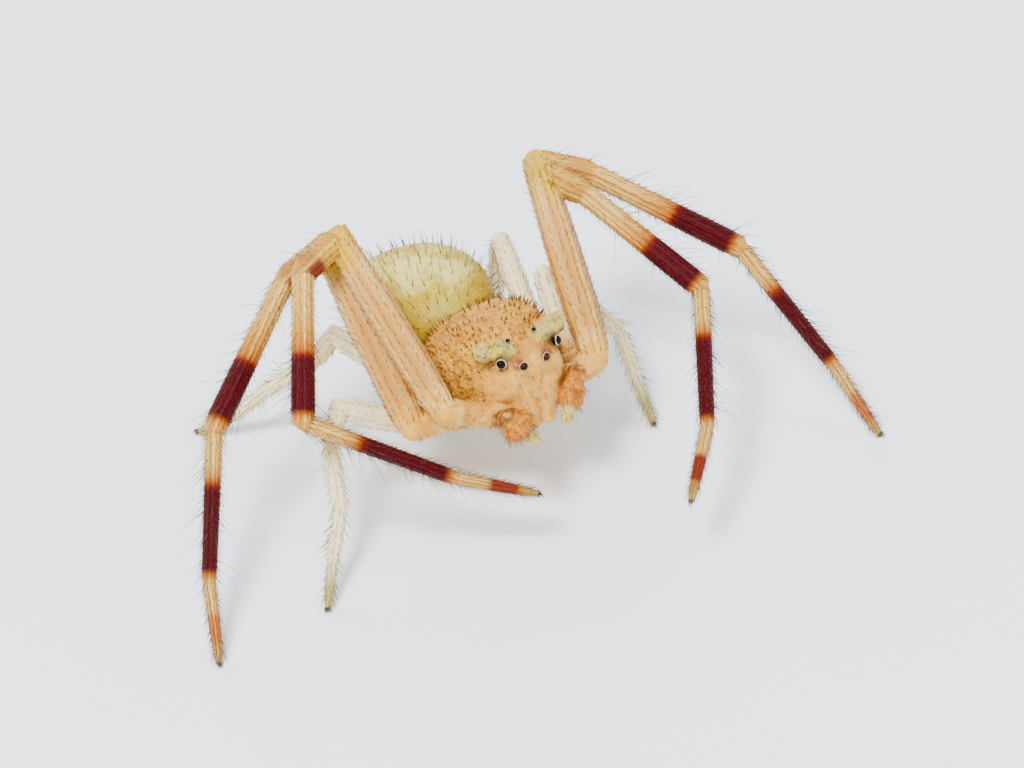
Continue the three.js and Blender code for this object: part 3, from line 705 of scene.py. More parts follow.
def leg_stops(pair):
    """Colour stops along a front leg, from the lengths of its segments."""
    lengths = LEG_LENGTHS[pair]
    starts = np.concatenate([[0], np.cumsum(lengths)])
    total = starts[-1]

    def at(segment, t):
        return float((starts[segment] + lengths[segment] * t) / total)

    tarsus = TARSUS_RED if pair == "1" else TARSUS_ORANGE
    return [
        (0.0, FEMUR_SKIN),
        (at(0, 0.5), FEMUR_SKIN),
        (at(0, 0.85), FEMUR_LIGHT),
        (at(0, 0.97), KNEE_SKIN),
        (at(1, 0.25), KNEE_SKIN),
        (at(1, 0.6), PATELLA_SKIN),
        (at(1, 0.93), PATELLA_SKIN),
        (at(2, 0.03), SHIN_SKIN),
        (at(2, 0.25), SHIN_SKIN),
        (at(2, 0.44), SHIN_WARM),
        (at(2, 0.53), ORANGE),
        (at(2, 0.562), RED_EDGE),
        (at(2, 0.6), MAROON),
        (at(2, 0.93), MAROON),
        (at(2, 0.962), ORANGE),
        (at(2, 0.985), SHIN_WARM),
        (at(3, 0.04), SHIN_SKIN),
        (at(3, 0.24), SHIN_SKIN),
        (at(3, 0.345), ORANGE),
        (at(3, 0.385), RED_EDGE),
        (at(3, 0.43), MAROON),
        (at(3, 0.93), MAROON),
        (at(3, 0.97), ORANGE),
        (at(4, 0.04), SHIN_SKIN),
        (at(4, 0.36), SHIN_SKIN),
        (at(4, 0.45), tarsus),
        (at(4, 0.74), tarsus),
        (at(4, 0.82), SHIN_WARM),
        (at(4, 0.96), TIP_SKIN),
    ]


def near_place(n, along, place, reach):
    """1 close to a place along the leg, 0 from `reach` away."""
    away = n.math("ABSOLUTE", n.math("SUBTRACT", along, place))
    return n.between(away, reach, reach * 0.4)


def front_leg_material(pair):
    n = Nodes(f"front_leg_{pair}_skin")
    along, around = leg_coordinates(n)
    at = n.place()
    wander = n.noise(at, 6.0, 3.0)
    ragged = n.noise(at, 26.0, 2.0)
    shift = n.math("MULTIPLY_ADD", n.math("SUBTRACT", ragged, 0.5), 0.006, along)
    colour = n.ramp(shift, leg_stops(pair))
    bright = n.between(n.add("ShaderNodeRGBToBW", {0: colour}).outputs[0], 0.08, 0.25)
    lines = stripes(n, around, 5, n.product(wander, 2.0))
    pale = n.product(n.between(lines, 0.88, 0.99), n.between(wander, 0.35, 0.55, 0.1, 0.5))
    colour = n.blend(n.product(pale, bright), colour, PALE_LINE)
    warm = n.product(n.between(lines, 0.35, 0.05), 0.45)
    colour = n.blend(n.product(warm, bright), colour, FEMUR_WARM)
    inner = n.between(n.math("SINE", around), 0.3, -0.3)
    lengths = LEG_LENGTHS[pair]
    yellow = near_place(n, along, lengths[0] * 0.96 / sum(lengths), 0.05)
    colour = n.blend(n.product(yellow, inner), colour, KNEE_YELLOW)
    spot = near_place(n, along, (lengths[0] + lengths[1] * 0.84) / sum(lengths), 0.022)
    red = RED_EDGE if pair == "1" else TARSUS_RED
    strength = n.product(n.math("MAXIMUM", inner, 0.35), n.attribute("spotted"))
    colour = n.blend(n.product(spot, strength), colour, red)
    colour = n.blend(n.between(along, 0.012, 0.06, 1.0, 0.0), colour, coxa_colour(n, at))
    n.link(colour, "Base Color")
    flesh(n, depth=0.15, amount=0.12, roughness=0.22)
    n.link(n.between(bright, 0.0, 1.0, 0.07, 0.2), "Specular IOR Level")
    fine = stripes(n, around, 14, n.product(wander, 3.0))
    n.bump((fine, 0.012), (n.noise(at, 34.0, 3.0), 0.014))
    return n.material


def rear_leg_material():
    n = Nodes("rear_leg_skin")
    along, around = leg_coordinates(n)
    at = n.place()
    wander = n.noise(at, 5.0, 3.0)
    colour = n.ramp(along, [(0.0, REAR_WARM), (0.14, REAR_SKIN), (0.3, REAR_SKIN), (0.4, REAR_WARM),
                            (0.5, REAR_SKIN), (0.8, REAR_SKIN), (0.93, REAR_TIP), (1.0, TIP_SKIN)])
    lines = stripes(n, around, 5, n.product(wander, 2.0))
    colour = n.blend(n.between(lines, 0.4, 0.05, 0.0, 0.45), colour, REAR_WARM)
    colour = n.blend(n.between(along, 0.02, 0.09, 1.0, 0.0), colour, coxa_colour(n, at))
    n.link(colour, "Base Color")
    flesh(n, depth=0.3, amount=0.35, roughness=0.34)
    fine = stripes(n, around, 12, n.product(wander, 3.0))
    n.bump((fine, 0.01), (n.noise(at, 34.0, 3.0), 0.014))
    return n.material


def hair_material(name, dark, light):
    n = Nodes(name)
    at = n.place()
    tone = n.math("MULTIPLY_ADD", n.math("SUBTRACT", n.noise(at, 3.0), 0.5), 0.4, n.attribute("tone"))
    n.link(n.ramp(tone, [(0.0, dark), (1.0, light)]), "Base Color")
    n.set(Roughness=0.4, Specular_IOR_Level=0.2)
    return n.material


def eye_material(name, core, edge):
    n = Nodes(name)
    at = n.place()
    n.link(n.ramp(n.noise(at, 10.0), [(0.4, core), (0.65, edge)]), "Base Color")
    n.set(Roughness=0.06, IOR=1.4, Specular_IOR_Level=0.14)
    return n.material


def claw_material():
    n = Nodes("claw_horn")
    at = n.place()
    n.link(n.ramp(n.noise(at, 22.0), [(0.35, CLAW_DARK), (0.7, CLAW_LIGHT)]), "Base Color")
    n.set(Roughness=0.3, IOR=1.5)
    n.bump((n.noise(at, 60.0), 0.004))
    return n.material


def rim_material():
    n = Nodes("eye_rim")
    at = n.place()
    n.link(n.ramp(n.noise(at, 16.0), [(0.35, RIM_DARK), (0.65, RIM_LIGHT)]), "Base Color")
    flesh(n, depth=0.05, amount=0.3, roughness=0.3)
    return n.material


def floor_material():
    n = Nodes("pale_floor")
    at = n.place()
    n.link(n.ramp(n.noise(at, 0.05), [(0.3, FLOOR_DARK), (0.7, FLOOR_LIGHT)]), "Base Color")
    n.set(Roughness=0.85)
    return n.material


# Legs

def side_of(leg):
    return 1 if leg[0] == "L" else -1


def aimed(side, swing, lift):
    """The way that a segment points, from its two angles in degrees."""
    swing, lift = math.radians(swing), math.radians(lift)
    level = math.cos(lift)
    return Vector((side * math.sin(swing) * level, -math.cos(swing) * level, math.sin(lift)))


def joints_of(leg):
    """The leg's joints from the hip to the foot. A standing foot is put on the floor."""
    hip, aims = POSE[leg]
    side = side_of(leg)
    joints = [Vector((FACE.x + side * hip[0], FACE.y + hip[1], FACE_HEIGHT + hip[2]))]
    for (swing, lift), length in zip(aims, LEG_LENGTHS[leg[1]]):
        joints.append(joints[-1] + aimed(side, swing, lift) * length)
    joints[-1] += (joints[-2] - joints[-1]).normalized() * CLAW_LENGTH * 0.7
    if leg not in RAISED:
        joints[-1].z = FOOT_LEVEL
    return joints


def leg_frame(leg):
    """Everything that a leg's skin and its hairs share."""
    joints = [np.array(j) for j in joints_of(leg)]
    axes = [unit(b - a) for a, b in zip(joints, joints[1:])]
    flank = unit(np.cross(axes[0], axes[1]))
    u = [unit(flank - w * w.dot(flank)) for w in axes]
    v = [np.cross(w, x) for w, x in zip(axes, u)]
    front = leg[1] in "12"
    lengths = LEG_LENGTHS[leg[1]]
    return {"leg": leg, "joints": joints, "axes": axes, "u": u, "v": v, "front": front,
            "table": FRONT_RADII if front else REAR_RADII, "lengths": lengths,
            "starts": np.concatenate([[0], np.cumsum(lengths)]) / sum(lengths), "total": sum(lengths)}


def segment_radius(shape, segment, t):
    rows = shape["table"][segment]
    return np.interp(t, [r[0] for r in rows], [r[1] for r in rows])


def segment_skin(shape, segment):
    """One joint of a leg. At the knee its end is cut along the bend, as a mitre."""
    a, b = shape["joints"][segment], shape["joints"][segment + 1]
    axis, u, v = (shape[k][segment] for k in ("axes", "u", "v"))
    length = np.linalg.norm(b - a)
    sides = 32
    angle = np.linspace(0, 2 * np.pi, sides, endpoint=False)
    c, s = np.cos(angle)[:, None], np.sin(angle)[:, None]
    places = np.linspace(0, 1, max(8, int(length / 0.05)) + 1)
    path = [a + (b - a) * t for t in places]
    radii = [float(segment_radius(shape, segment, t)) for t in places]
    knee_start, knee_end = segment == 1, segment == 0
    bisector = unit(shape["axes"][0] + shape["axes"][1])
    rings = []
    for p, r, t in zip(path, radii, places):
        offset = r * (0.95 * c * u + s * v)
        if knee_start or knee_end:
            from_knee = (t if knee_start else 1 - t) * length
            weight = float(np.clip(1 - from_knee / 0.5, 0, 1)) ** 1.5
            shift = -(offset @ bisector) / axis.dot(bisector) * weight
            reach = KNEE_REACH[shape["leg"][0]] * r
            offset = offset + np.clip(shift, -reach, reach)[:, None] * axis
        rings.append(p + offset)
    if not knee_start:
        rings = end_dome(rings[0], -axis, radii[0] * JOINT_BULGE)[::-1] + rings
    if not knee_end:
        bulge = 0.9 if segment == 4 else JOINT_BULGE
        rings = rings + end_dome(rings[-1], axis, radii[-1] * bulge)
    return loft(rings)


def end_dome(ring, way, height):
    centre = ring.mean(0)
    return [centre + (ring - centre) * math.sqrt(1 - t * t) + way * height * t for t in DOME_LIFTS]


def ball(centre, radius, rows=14, sides=24):
    turn = np.linspace(0, math.pi, rows + 2)[1:-1]
    around = np.linspace(0, 2 * np.pi, sides, endpoint=False)
    rings = [centre + radius * np.stack([math.sin(t) * np.cos(around), math.sin(t) * np.sin(around),
                                         np.full(sides, -math.cos(t))], axis=1) for t in turn]
    return loft(rings)


def leg_parts(shape):
    parts = [segment_skin(shape, i) for i in range(5)]
    for i in range(1, 5):
        radius = min(float(segment_radius(shape, i - 1, 1.0)), float(segment_radius(shape, i, 0.0)))
        parts.append(ball(shape["joints"][i], radius * 0.94))
        corner = shape["axes"][i - 1] - shape["axes"][i]
        if np.linalg.norm(corner) > SHARP_BEND:
            parts.append(ball(shape["joints"][i] + unit(corner) * radius * 0.36, radius * 0.72))
    if shape["leg"] not in RAISED:
        for points, _ in parts:
            points[:, 2] = np.maximum(points[:, 2], SOLE_LEVEL)
    return parts


def leg_place(shape, points):
    """For each point: how far along the leg it lies, 0 to 1, its turn round it, and its distance in radii."""
    best = np.full(len(points), 1e9)
    along, cosine, sine = (np.zeros(len(points)) for _ in range(3))
    for i in range(5):
        a, axis, u, v = shape["joints"][i], shape["axes"][i], shape["u"][i], shape["v"][i]
        length = np.linalg.norm(shape["joints"][i + 1] - a)
        t = np.clip((points - a) @ axis / length, 0, 1)
        off = points - (a + t[:, None] * length * axis)
        far = np.linalg.norm(off, axis=1) / segment_radius(shape, i, t)
        x, y = off @ u, off @ v
        size = np.maximum(np.hypot(x, y), 1e-6)
        nearer = far < best
        best = np.where(nearer, far, best)
        along = np.where(nearer, leg_reach(shape, i, t), along)
        cosine = np.where(nearer, x / size, cosine)
        sine = np.where(nearer, y / size, sine)
    return along, cosine, sine, best


def leg_unwrap(leg, reach, around):
    """A leg's strip on the unwrap: eight strips side by side, each along its leg."""
    strip = sorted(POSE).index(leg)
    return np.stack([0.02 + 0.9 * reach, (strip + 0.1 + 0.75 * around) / 8 * 0.6], axis=1)


def band_darkness(pair, reach):
    """1 on the dark bands of a front leg, 0 elsewhere."""
    lengths = LEG_LENGTHS[pair]
    starts = np.concatenate([[0], np.cumsum(lengths)])
    dark = np.zeros_like(reach)
    for segment, low, high in ((2, 0.57, 0.96), (3, 0.39, 0.96)):
        a = (starts[segment] + lengths[segment] * low) / starts[-1]
        b = (starts[segment] + lengths[segment] * high) / starts[-1]
        dark = np.maximum(dark, ((reach > a) & (reach < b)).astype(float))
    return dark


def leg_roots(shape, segment, t, angle):
    """Places on a leg's skin, the way out of it there, and the way to the foot."""
    axis, u, v = (shape[k][segment] for k in ("axes", "u", "v"))
    a, b = shape["joints"][segment], shape["joints"][segment + 1]
    out = np.cos(angle)[:, None] * u + np.sin(angle)[:, None] * v
    radius = segment_radius(shape, segment, t)
    places = a + t[:, None] * (b - a) + out * radius[:, None]
    roots, normals = snap(places)
    return roots, normals, np.tile(axis, (len(t), 1))


def snap(places):
    """The nearest places on the skin and its normals there."""
    roots, normals = np.empty_like(places), np.empty_like(places)
    for i, p in enumerate(places):
        at, normal, _, _ = SKIN_TREE.find_nearest(Vector(p))
        roots[i], normals[i] = at, normal
    return roots, normals


# Fine hairs on each segment of a leg: gap along it, lean off it in radians, and length
HAIR_GAPS = (0.15, 0.14, 0.12, 0.105, 0.085)
HAIR_LEANS = (0.42, 0.6, 0.62, 0.66, 0.6)
HAIR_LENGTHS = (0.105, 0.13, 0.15, 0.17, 0.15)

# Bristles on each segment: how many on a front leg and on a rear one, and length
BRISTLES_FRONT = (8, 7, 36, 34, 8)
BRISTLES_REAR = (4, 4, 12, 12, 5)
BRISTLE_LENGTHS = (0.22, 0.3, 0.44, 0.42, 0.22)


def leg_reach(shape, segment, t):
    """Places along the leg, 0 at the hip to 1 at the foot, from places along a segment."""
    return shape["starts"][segment] + t * shape["lengths"][segment] / shape["total"]


def add_kept(columns, values, keep):
    for column, value in zip(columns, values):
        column.append(value[keep])


def leg_hairs(shape, material):
    """Rows of fine hairs that lean towards the foot."""
    leg, front = shape["leg"], shape["front"]
    rows_around = 12 if front else 9
    columns = [[] for _ in range(7)]
    for i in range(5):
        rings = int(shape["lengths"][i] / HAIR_GAPS[i] * (1.0 if front else 0.8))
        count = rings * rows_around
        row = np.tile(np.arange(rows_around), rings)
        ring = np.repeat(np.arange(rings), rows_around)
        t = (ring + 0.5 + 0.5 * (row % 2 - 0.5) + rng.uniform(-0.3, 0.3, count)) / rings
        t = np.clip(t, 0.02, 0.98)
        around = (row + rng.uniform(-0.16, 0.16, count)) / rows_around
        roots, out, axis = leg_roots(shape, i, t, 2 * np.pi * around)
        lean = HAIR_LEANS[i] + rng.normal(0, 0.1, count) + (0.0 if front else 0.08)
        ways = axis * np.cos(lean)[:, None] + out * np.sin(lean)[:, None]
        ways = units(ways + rng.normal(0, 0.05, (count, 3)))
        length = HAIR_LENGTHS[i] * rng.uniform(0.7, 1.35, count)
        reach = leg_reach(shape, i, t)
        dark = band_darkness(leg[1], reach) if front else np.zeros(count)
        tones = np.clip((0.22 if front else 0.45) - 0.2 * dark + rng.normal(0, 0.16, count), 0, 1)
        end = roots + ways * length[:, None]
        keep = (end[:, 2] > 0.02) & (roots[:, 2] > 0.02) & ~((i == 4) & (t > 0.93))
        radius = (0.0092 if i == 0 else 0.0074) * rng.uniform(0.85, 1.15, count)
        bends = axis * (length * 0.22)[:, None]
        unwrap = leg_unwrap(leg, reach, around)
        values = (roots - ways * SUNK, ways, bends, length + SUNK, radius, tones, unwrap)
        add_kept(columns, values, keep)
    piece = hairs(f"hairs_{leg}", *(np.concatenate(c) for c in columns))
    piece.data.materials.append(material)
    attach(piece, "root")


def leg_bristles(shape, material):
    """Long thin bristles, most of them on the shins and the joint after."""
    leg, front = shape["leg"], shape["front"]
    columns = [[] for _ in range(7)]
    for i, count in enumerate(BRISTLES_FRONT if front else BRISTLES_REAR):
        t = rng.uniform(0.05, 0.95, count)
        inner = rng.uniform(size=count) < 0.5
        around = np.where(inner, 0.25 + rng.normal(0, 0.1, count), rng.uniform(0, 1, count))
        roots, out, axis = leg_roots(shape, i, t, 2 * np.pi * around)
        lean = rng.uniform(0.8, 1.3, count)
        ways = axis * np.cos(lean)[:, None] + out * np.sin(lean)[:, None]
        length = BRISTLE_LENGTHS[i] * rng.uniform(0.55, 1.6, count) * (1.0 if front else 0.75)
        reach = leg_reach(shape, i, t)
        keep = (roots + ways * length[:, None])[:, 2] > 0.03
        bends = axis * (length * 0.28)[:, None]
        unwrap = leg_unwrap(leg, reach, around % 1)
        values = (roots - ways * SUNK, ways, bends, length, np.full(count, BRISTLE_RADIUS),
                  rng.uniform(0, 0.6, count), unwrap)
        add_kept(columns, values, keep)
    piece = hairs(f"bristles_{leg}", *(np.concatenate(c) for c in columns))
    piece.data.materials.append(material)
    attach(piece, "root")


def make_claws(shape, horn, hair):
    """Two curved claws and the dark tuft of short hairs round them."""
    leg, foot = shape["leg"], Vector(shape["joints"][-1])
    axis = Vector(shape["axes"][-1])
    standing = leg not in RAISED
    forward = Vector((axis.x, axis.y, 0)).normalized() if standing else axis
    side = Vector((0, 0, 1)).cross(forward).normalized()
    root = foot + forward * shape["table"][4][-1][1] * 0.55
    if standing:
        root.z = CLAW_LEVEL
    parts = []
    steps = np.linspace(0, 1, 9)
    for s in (-1, 1):
        start = root + side * s * 0.024
        line = []
        for t in steps:
            drop = 0.02 * math.sin(math.pi * t) - (0.055 if standing else 0.07) * t * t
            line.append(np.array(start + forward * 0.12 * t + Vector((0, 0, drop))))
        parts.append(tube(line, [0.022 * (1 - 0.85 * t) for t in steps], 10))
    piece = new_object(f"claws_{leg}", *joined(parts))
    piece.data.materials.append(horn)
    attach(piece, "root")
    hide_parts(f"{leg}_claws")

    count = 70
    spread = rng.normal(0, 1, (count, 3))
    ways = np.array(forward) * 1.3 + spread * 0.4
    ways[:, 2] += 0.1
    ways = units(ways)
    roots = np.array(foot) + spread * 0.026
    roots[:, 2] = np.maximum(roots[:, 2], 0.03)
    lengths = rng.uniform(0.05, 0.1, count)
    keep = (roots + ways * lengths[:, None])[:, 2] > 0.015
    unwrap = leg_unwrap(leg, np.full(count, 0.99), rng.uniform(0, 1, count))
    tones = rng.uniform(0, 0.4, count)
    columns = (roots, ways, np.zeros((count, 3)), lengths, np.full(count, 0.0065), tones, unwrap)
    tuft = hairs(f"claw_tuft_{leg}", *(c[keep] for c in columns))
    tuft.data.materials.append(hair)
    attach(tuft, "root")


# Body

def body_tube(rows, sides, side=1):
    return tube([on_body(side * x, y, z) for x, y, z, _ in rows], [r for *_, r in rows], sides)


def coxa_root(leg):
    outward, back = COXA_ROOTS[leg[1]]
    return on_body(side_of(leg) * outward, back, COXA_LEVEL)


def coxa(leg, hip):
    root, radius = coxa_root(leg), COXA_RADIUS[leg[1]]
    path = [root + (hip - root) * t for t, _ in COXA_PROFILE]
    return tube(path, [radius * w for _, w in COXA_PROFILE], 28)


def palp_places(letter, side):
    """A palp's elbow and wrist, and the bulb and tip of its last joint."""
    places = (PALPS[letter][name] for name in ("elbow", "wrist", "bulb", "tip"))
    return [on_body(side * outward, back, up) for outward, back, up in places]


def palp_parts(letter, side):
    """A palp: its arm, and the swollen last joint of a grown male with its pointed end."""
    outward, back, up = PALP_ROOT
    root = on_body(side * outward, back, up)
    elbow, wrist, bulb, tip = palp_places(letter, side)
    arm = [root, (root + elbow) / 2, elbow, elbow + (wrist - elbow) * 0.6, wrist]
    fat, profile = PALPS[letter]["radius"], PALP_PROFILE[letter]
    end = [bulb + (tip - bulb) * t for t, _ in profile]
    return [tube(arm, PALP_ARM_RADII, 24), tube(end, [fat * w for _, w in profile], 40),
            tube([wrist, (wrist + bulb) / 2, bulb], PALP_WRIST_RADII, 20)]


def make_skin(shapes):
    """One skin for all the flesh: head, chest, abdomen, palps and legs."""
    parts = [shell(CARAPACE, CARAPACE_ROUNDNESS), shell(ABDOMEN, ABDOMEN_ROUNDNESS, 110, 150)]
    for letter, s in SIDES:
        parts.append(body_tube(EYE_RIDGE, 32, s))
        parts += [ball(on_body(s * x, y, z), r) for x, y, z, r in LUMPS]
        parts += [body_tube(JAW, 32, s), body_tube(MOUTH_LOBE, 20, s)]
        parts += palp_parts(letter, s)
    parts.append(body_tube(JAW_BRIDGE, 24))
    for shape in shapes:
        parts.append(coxa(shape["leg"], shape["joints"][0]))
        parts.append(ball(shape["joints"][0], COXA_RADIUS[shape["leg"][1]] * 0.86))
        parts += leg_parts(shape)
    turn = np.linspace(0, 2 * np.pi, 32, endpoint=False)
    rings = []
    for back, half in STERNUM:
        centre = on_body(0, back, STERNUM_LEVEL)
        rings.append([centre + (half * math.cos(-a), 0, STERNUM_HALF_HEIGHT * math.sin(-a)) for a in turn])
    parts += [loft(rings), body_tube(WAIST, 24)]
    for across, up in SPINNERET_PLACES:
        parts.append(body_tube([(across * x, y, z + up, r) for x, y, z, r in SPINNERET], 18))
    piece = fused("spider_skin", parts)
    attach(piece, "root")
    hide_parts(*FLESH_NODES)
    return piece


def shell_ratio(table, roundness, q):
    """How far out each point lies, 1 on the shell, in body axes. Past the shell's ends it is large."""
    inside = (q[:, 1] > table[0][0]) & (q[:, 1] < table[-1][0])
    back = np.linspace(table[0][0], table[-1][0], 200)
    rows = np.array([catmull(table, b) for b in back])
    half, top, level, bottom = (np.interp(q[:, 1], back, rows[:, k]) for k in (1, 2, 3, 4))
    rise = np.where(q[:, 2] > level, top - level, level - bottom)
    x, z = np.abs(q[:, 0]) / half, np.abs(q[:, 2] - level) / np.maximum(rise, 0.05)
    return np.where(inside, (x ** (2 / roundness) + z ** (2 / roundness)) ** (roundness / 2), 9.0)


def colour_skin(piece, shapes):
    """Soft masks for every marking, and which material each face takes."""
    world = world_points(piece)
    p = (world - np.array(FACE)) @ np.array(tilt)
    x, y, z = np.abs(p[:, 0]), p[:, 1], p[:, 2]
    q = np.stack([x, y, z], axis=1)

    along, cosine, sine = (np.zeros(len(p)) for _ in range(3))
    nearest, owner = np.full(len(p), LEG_EDGE), np.full(len(p), BODY)
    for shape in shapes:
        reach, c, s, far = leg_place(shape, world)
        nearer = (far < nearest) & (reach > 0.004)
        nearest = np.where(nearer, far, nearest)
        along = np.where(nearer, reach, along)
        cosine, sine = np.where(nearer, c, cosine), np.where(nearer, s, sine)
        owner = np.where(nearer, {"1": FRONT_1, "2": FRONT_2}.get(shape["leg"][1], REAR), owner)
    belly = shell_ratio(ABDOMEN, ABDOMEN_ROUNDNESS, p)
    chest = shell_ratio(CARAPACE, CARAPACE_ROUNDNESS, p)
    on_belly = (owner == BODY) & (y > ABDOMEN[0][0] - 0.02) & ((belly < chest) | (y > CARAPACE[-1][0] + 0.02))
    owner = np.where(on_belly, BELLY, owner)
    paint(piece, "along", along)
    paint(piece, "turn_c", cosine)
    paint(piece, "turn_s", sine)
    paint(piece, "spotted", np.where(p[:, 0] < 0, 0.95, 0.2))

    face = smooth_step(0.35, 0.0, y) * smooth_step(-1.25, -0.9, z)
    face = np.maximum(face, smooth_step(0.62, 0.3, y) * smooth_step(0.3, 0.0, z))
    paint(piece, "face", face)
    flank = smooth_step(1.36, 1.5, x) * smooth_step(-0.4, -0.6, z)
    under = np.maximum(smooth_step(-0.92, -1.02, z), flank)
    paint(piece, "under", under * smooth_step(-0.05, 0.2, y))
    start, end = np.array(GLASS_ENDS)
    t = np.clip((q - start) @ (end - start) / np.sum((end - start) ** 2), 0, 1)
    away = np.linalg.norm(q - (start + t[:, None] * (end - start)), axis=1)
    paint(piece, "tubercle", smooth_step(0.3, 0.13, away))
    # Mask of the painted shade below the eye ridges and round the eyes
    shade = np.zeros(len(p))
    for place, reach, strength in SHADED:
        away = np.linalg.norm(q - place, axis=1)
        shade = np.maximum(shade, smooth_step(reach, reach * 0.35, away) * strength)
    paint(piece, "eye_shade", shade)
    away = np.linalg.norm((q - BLUSH_PLACE) / BLUSH_SHAPE, axis=1)
    paint(piece, "blush", smooth_step(0.46, 0.12, away) * 0.85)

    palp, palp_end, palp_ring = (np.zeros(len(p)) for _ in range(3))
    for letter, side in SIDES:
        _, _, bulb, tip = palp_places(letter, side)
        fat = PALPS[letter]["radius"]
        share = (world - bulb) @ (tip - bulb) / np.sum((tip - bulb) ** 2)
        axis_point = bulb + np.clip(share, -0.3, 1.3)[:, None] * (tip - bulb)
        near = smooth_step(fat * 1.25, fat * 1.1, np.linalg.norm(world - axis_point, axis=1))
        palp = np.maximum(palp, near * smooth_step(-0.7, -0.3, share))
        ring = smooth_step(-0.75, -0.6, share) * smooth_step(-0.28, -0.42, share)
        palp_ring = np.maximum(palp_ring, near * ring)
        palp_end = np.maximum(palp_end, near * smooth_step(0.6, 0.72, share))
    paint(piece, "palp", palp)
    paint(piece, "palp_end", palp_end)
    paint(piece, "palp_ring", palp_ring)

    paint(piece, "rim", smooth_step(0.15, -0.45, z) * 0.5)
    top = smooth_step(-0.35, 0.2, z) * smooth_step(3.1, 3.5, y)
    paint(piece, "pale", top * smooth_step(5.2, 4.2, y) * smooth_step(1.0, 0.5, x))
    away = np.linalg.norm((q - PATCH_PLACE) / PATCH_SHAPE, axis=1)
    paint(piece, "patch", smooth_step(0.75, 0.25, away))

    corners = np.empty(len(piece.data.loops), dtype=int)
    piece.data.loops.foreach_get("vertex_index", corners)
    starts = np.empty(len(piece.data.polygons), dtype=int)
    piece.data.polygons.foreach_get("loop_start", starts)
    piece.data.polygons.foreach_set("material_index", owner[corners[starts]].astype(np.int32))
    piece.data.update()


def world_points(piece):
    flat = np.empty(len(piece.data.vertices) * 3)
    piece.data.vertices.foreach_get("co", flat)
    return flat.reshape(-1, 3) / MM


def tree_of(piece):
    """A search tree over the skin, in millimetres."""
    faces = [tuple(face.vertices) for face in piece.data.polygons]
    return BVHTree.FromPolygons(world_points(piece).tolist(), faces)


# Hairs of the body: the way they lean off the skin, length, curl, radius at the root, range of tones
CARAPACE_STYLE = {"lean": (0, 0.1, 0.45), "length": 0.125, "curl": (0, -0.1, 0.1),
                  "radius": 0.021, "tone": (0.0, 1.0)}
ABDOMEN_STYLE = {"lean": (0, 0.3, 0.25), "length": 0.27, "curl": (0, 0.12, 0.0),
                 "radius": 0.0115, "tone": (0.0, 1.0)}
MARGIN_STYLE = {"lean": (0, -0.5, 0.35), "length": 0.13, "curl": (0, 0, 0.1),
                "radius": 0.0075, "tone": (0, 0.8)}
FACE_STYLE = {"lean": (0, -0.1, -0.9), "length": 0.24, "curl": (0, 0, -0.1),
              "radius": 0.0075, "tone": (0.2, 0.9)}
PALP_STYLE = {"lean": (0, -0.25, -0.65), "length": 0.12, "curl": (0, 0, -0.15),
              "radius": 0.0062, "tone": (0.1, 1.0)}
COXA_STYLE = {"lean": (0, -0.2, 0.2), "length": 0.11, "curl": (0, 0, 0.0),
              "radius": 0.0062, "tone": (0.1, 1.0)}

# Where they grow: how many, the ranges of place, the least distance, and the chance at a place
CARAPACE_AREA = {
    "count": 330, "back": (0.3, 2.9), "angle": (-0.05, math.pi + 0.05), "apart": 0.09,
    "chance": lambda back, angle: 0.25 if back < 0.8 else 0.4 + 0.6 * (abs(angle - math.pi / 2) / 1.6) ** 2,
}
ABDOMEN_AREA = {
    "count": 470, "back": (2.8, 6.0), "angle": (-0.7, math.pi + 0.7), "apart": 0.21,
    "chance": lambda back, angle: 1.0,
}
FACE_HAIRS = ((0.1, -0.25), (0.42, -0.3), (0.22, -0.52), (0.5, -0.55), (0.35, -0.72), (0.1, -0.7),
              (0.3, -0.95))  # (outward, up)

# Corner of each coat's region on the unwrap
UNWRAP = {"carapace_spines": (0.02, 0.62), "abdomen_bristles": (0.02, 0.78),
          "palp_hairs": (0.6, 0.65), "coxa_hairs": (0.75, 0.65)}


def scattered(name, feet, out, style, material, unwrap):
    """Hairs on given places of the skin, each with its own lean, length and tone."""
    n = len(feet)
    ways = units(out + np.array(style["lean"]) + rng.normal(0, 0.16, (n, 3)))
    lengths = style["length"] * rng.uniform(0.65, 1.35, n)
    bends = np.array(style["curl"]) * lengths[:, None]
    radii = style["radius"] * rng.uniform(0.8, 1.2, n)
    tones = rng.uniform(*style["tone"], n)
    piece = hairs(name, feet - ways * SPINE_SUNK, ways, bends, lengths + SPINE_SUNK, radii, tones, unwrap)
    piece.data.materials.append(material)
    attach(piece, "root")


def shell_hairs(name, table, roundness, area, style, material):
    """Spines scattered evenly over a body shell, kept apart by a least distance."""
    feet, unwrap = [], []
    corner = UNWRAP[name]
    for _ in range(area["count"] * 30):
        if len(feet) == area["count"]:
            break
        back = rng.uniform(*area["back"])
        angle = rng.uniform(*area["angle"])
        if rng.uniform() > area["chance"](back, angle):
            continue
        foot = on_shell(table, roundness, back, angle)
        if feet and np.min(np.sum((np.array(feet) - foot) ** 2, axis=1)) < area["apart"] ** 2:
            continue
        feet.append(foot)
        unwrap.append((corner[0] + 0.2 * (back - table[0][0]) / 3.4,
                       corner[1] + 0.1 * (angle + 0.8) / 4.8))
    feet, out = snap(np.array(feet))
    scattered(name, feet, out, style, material, unwrap)


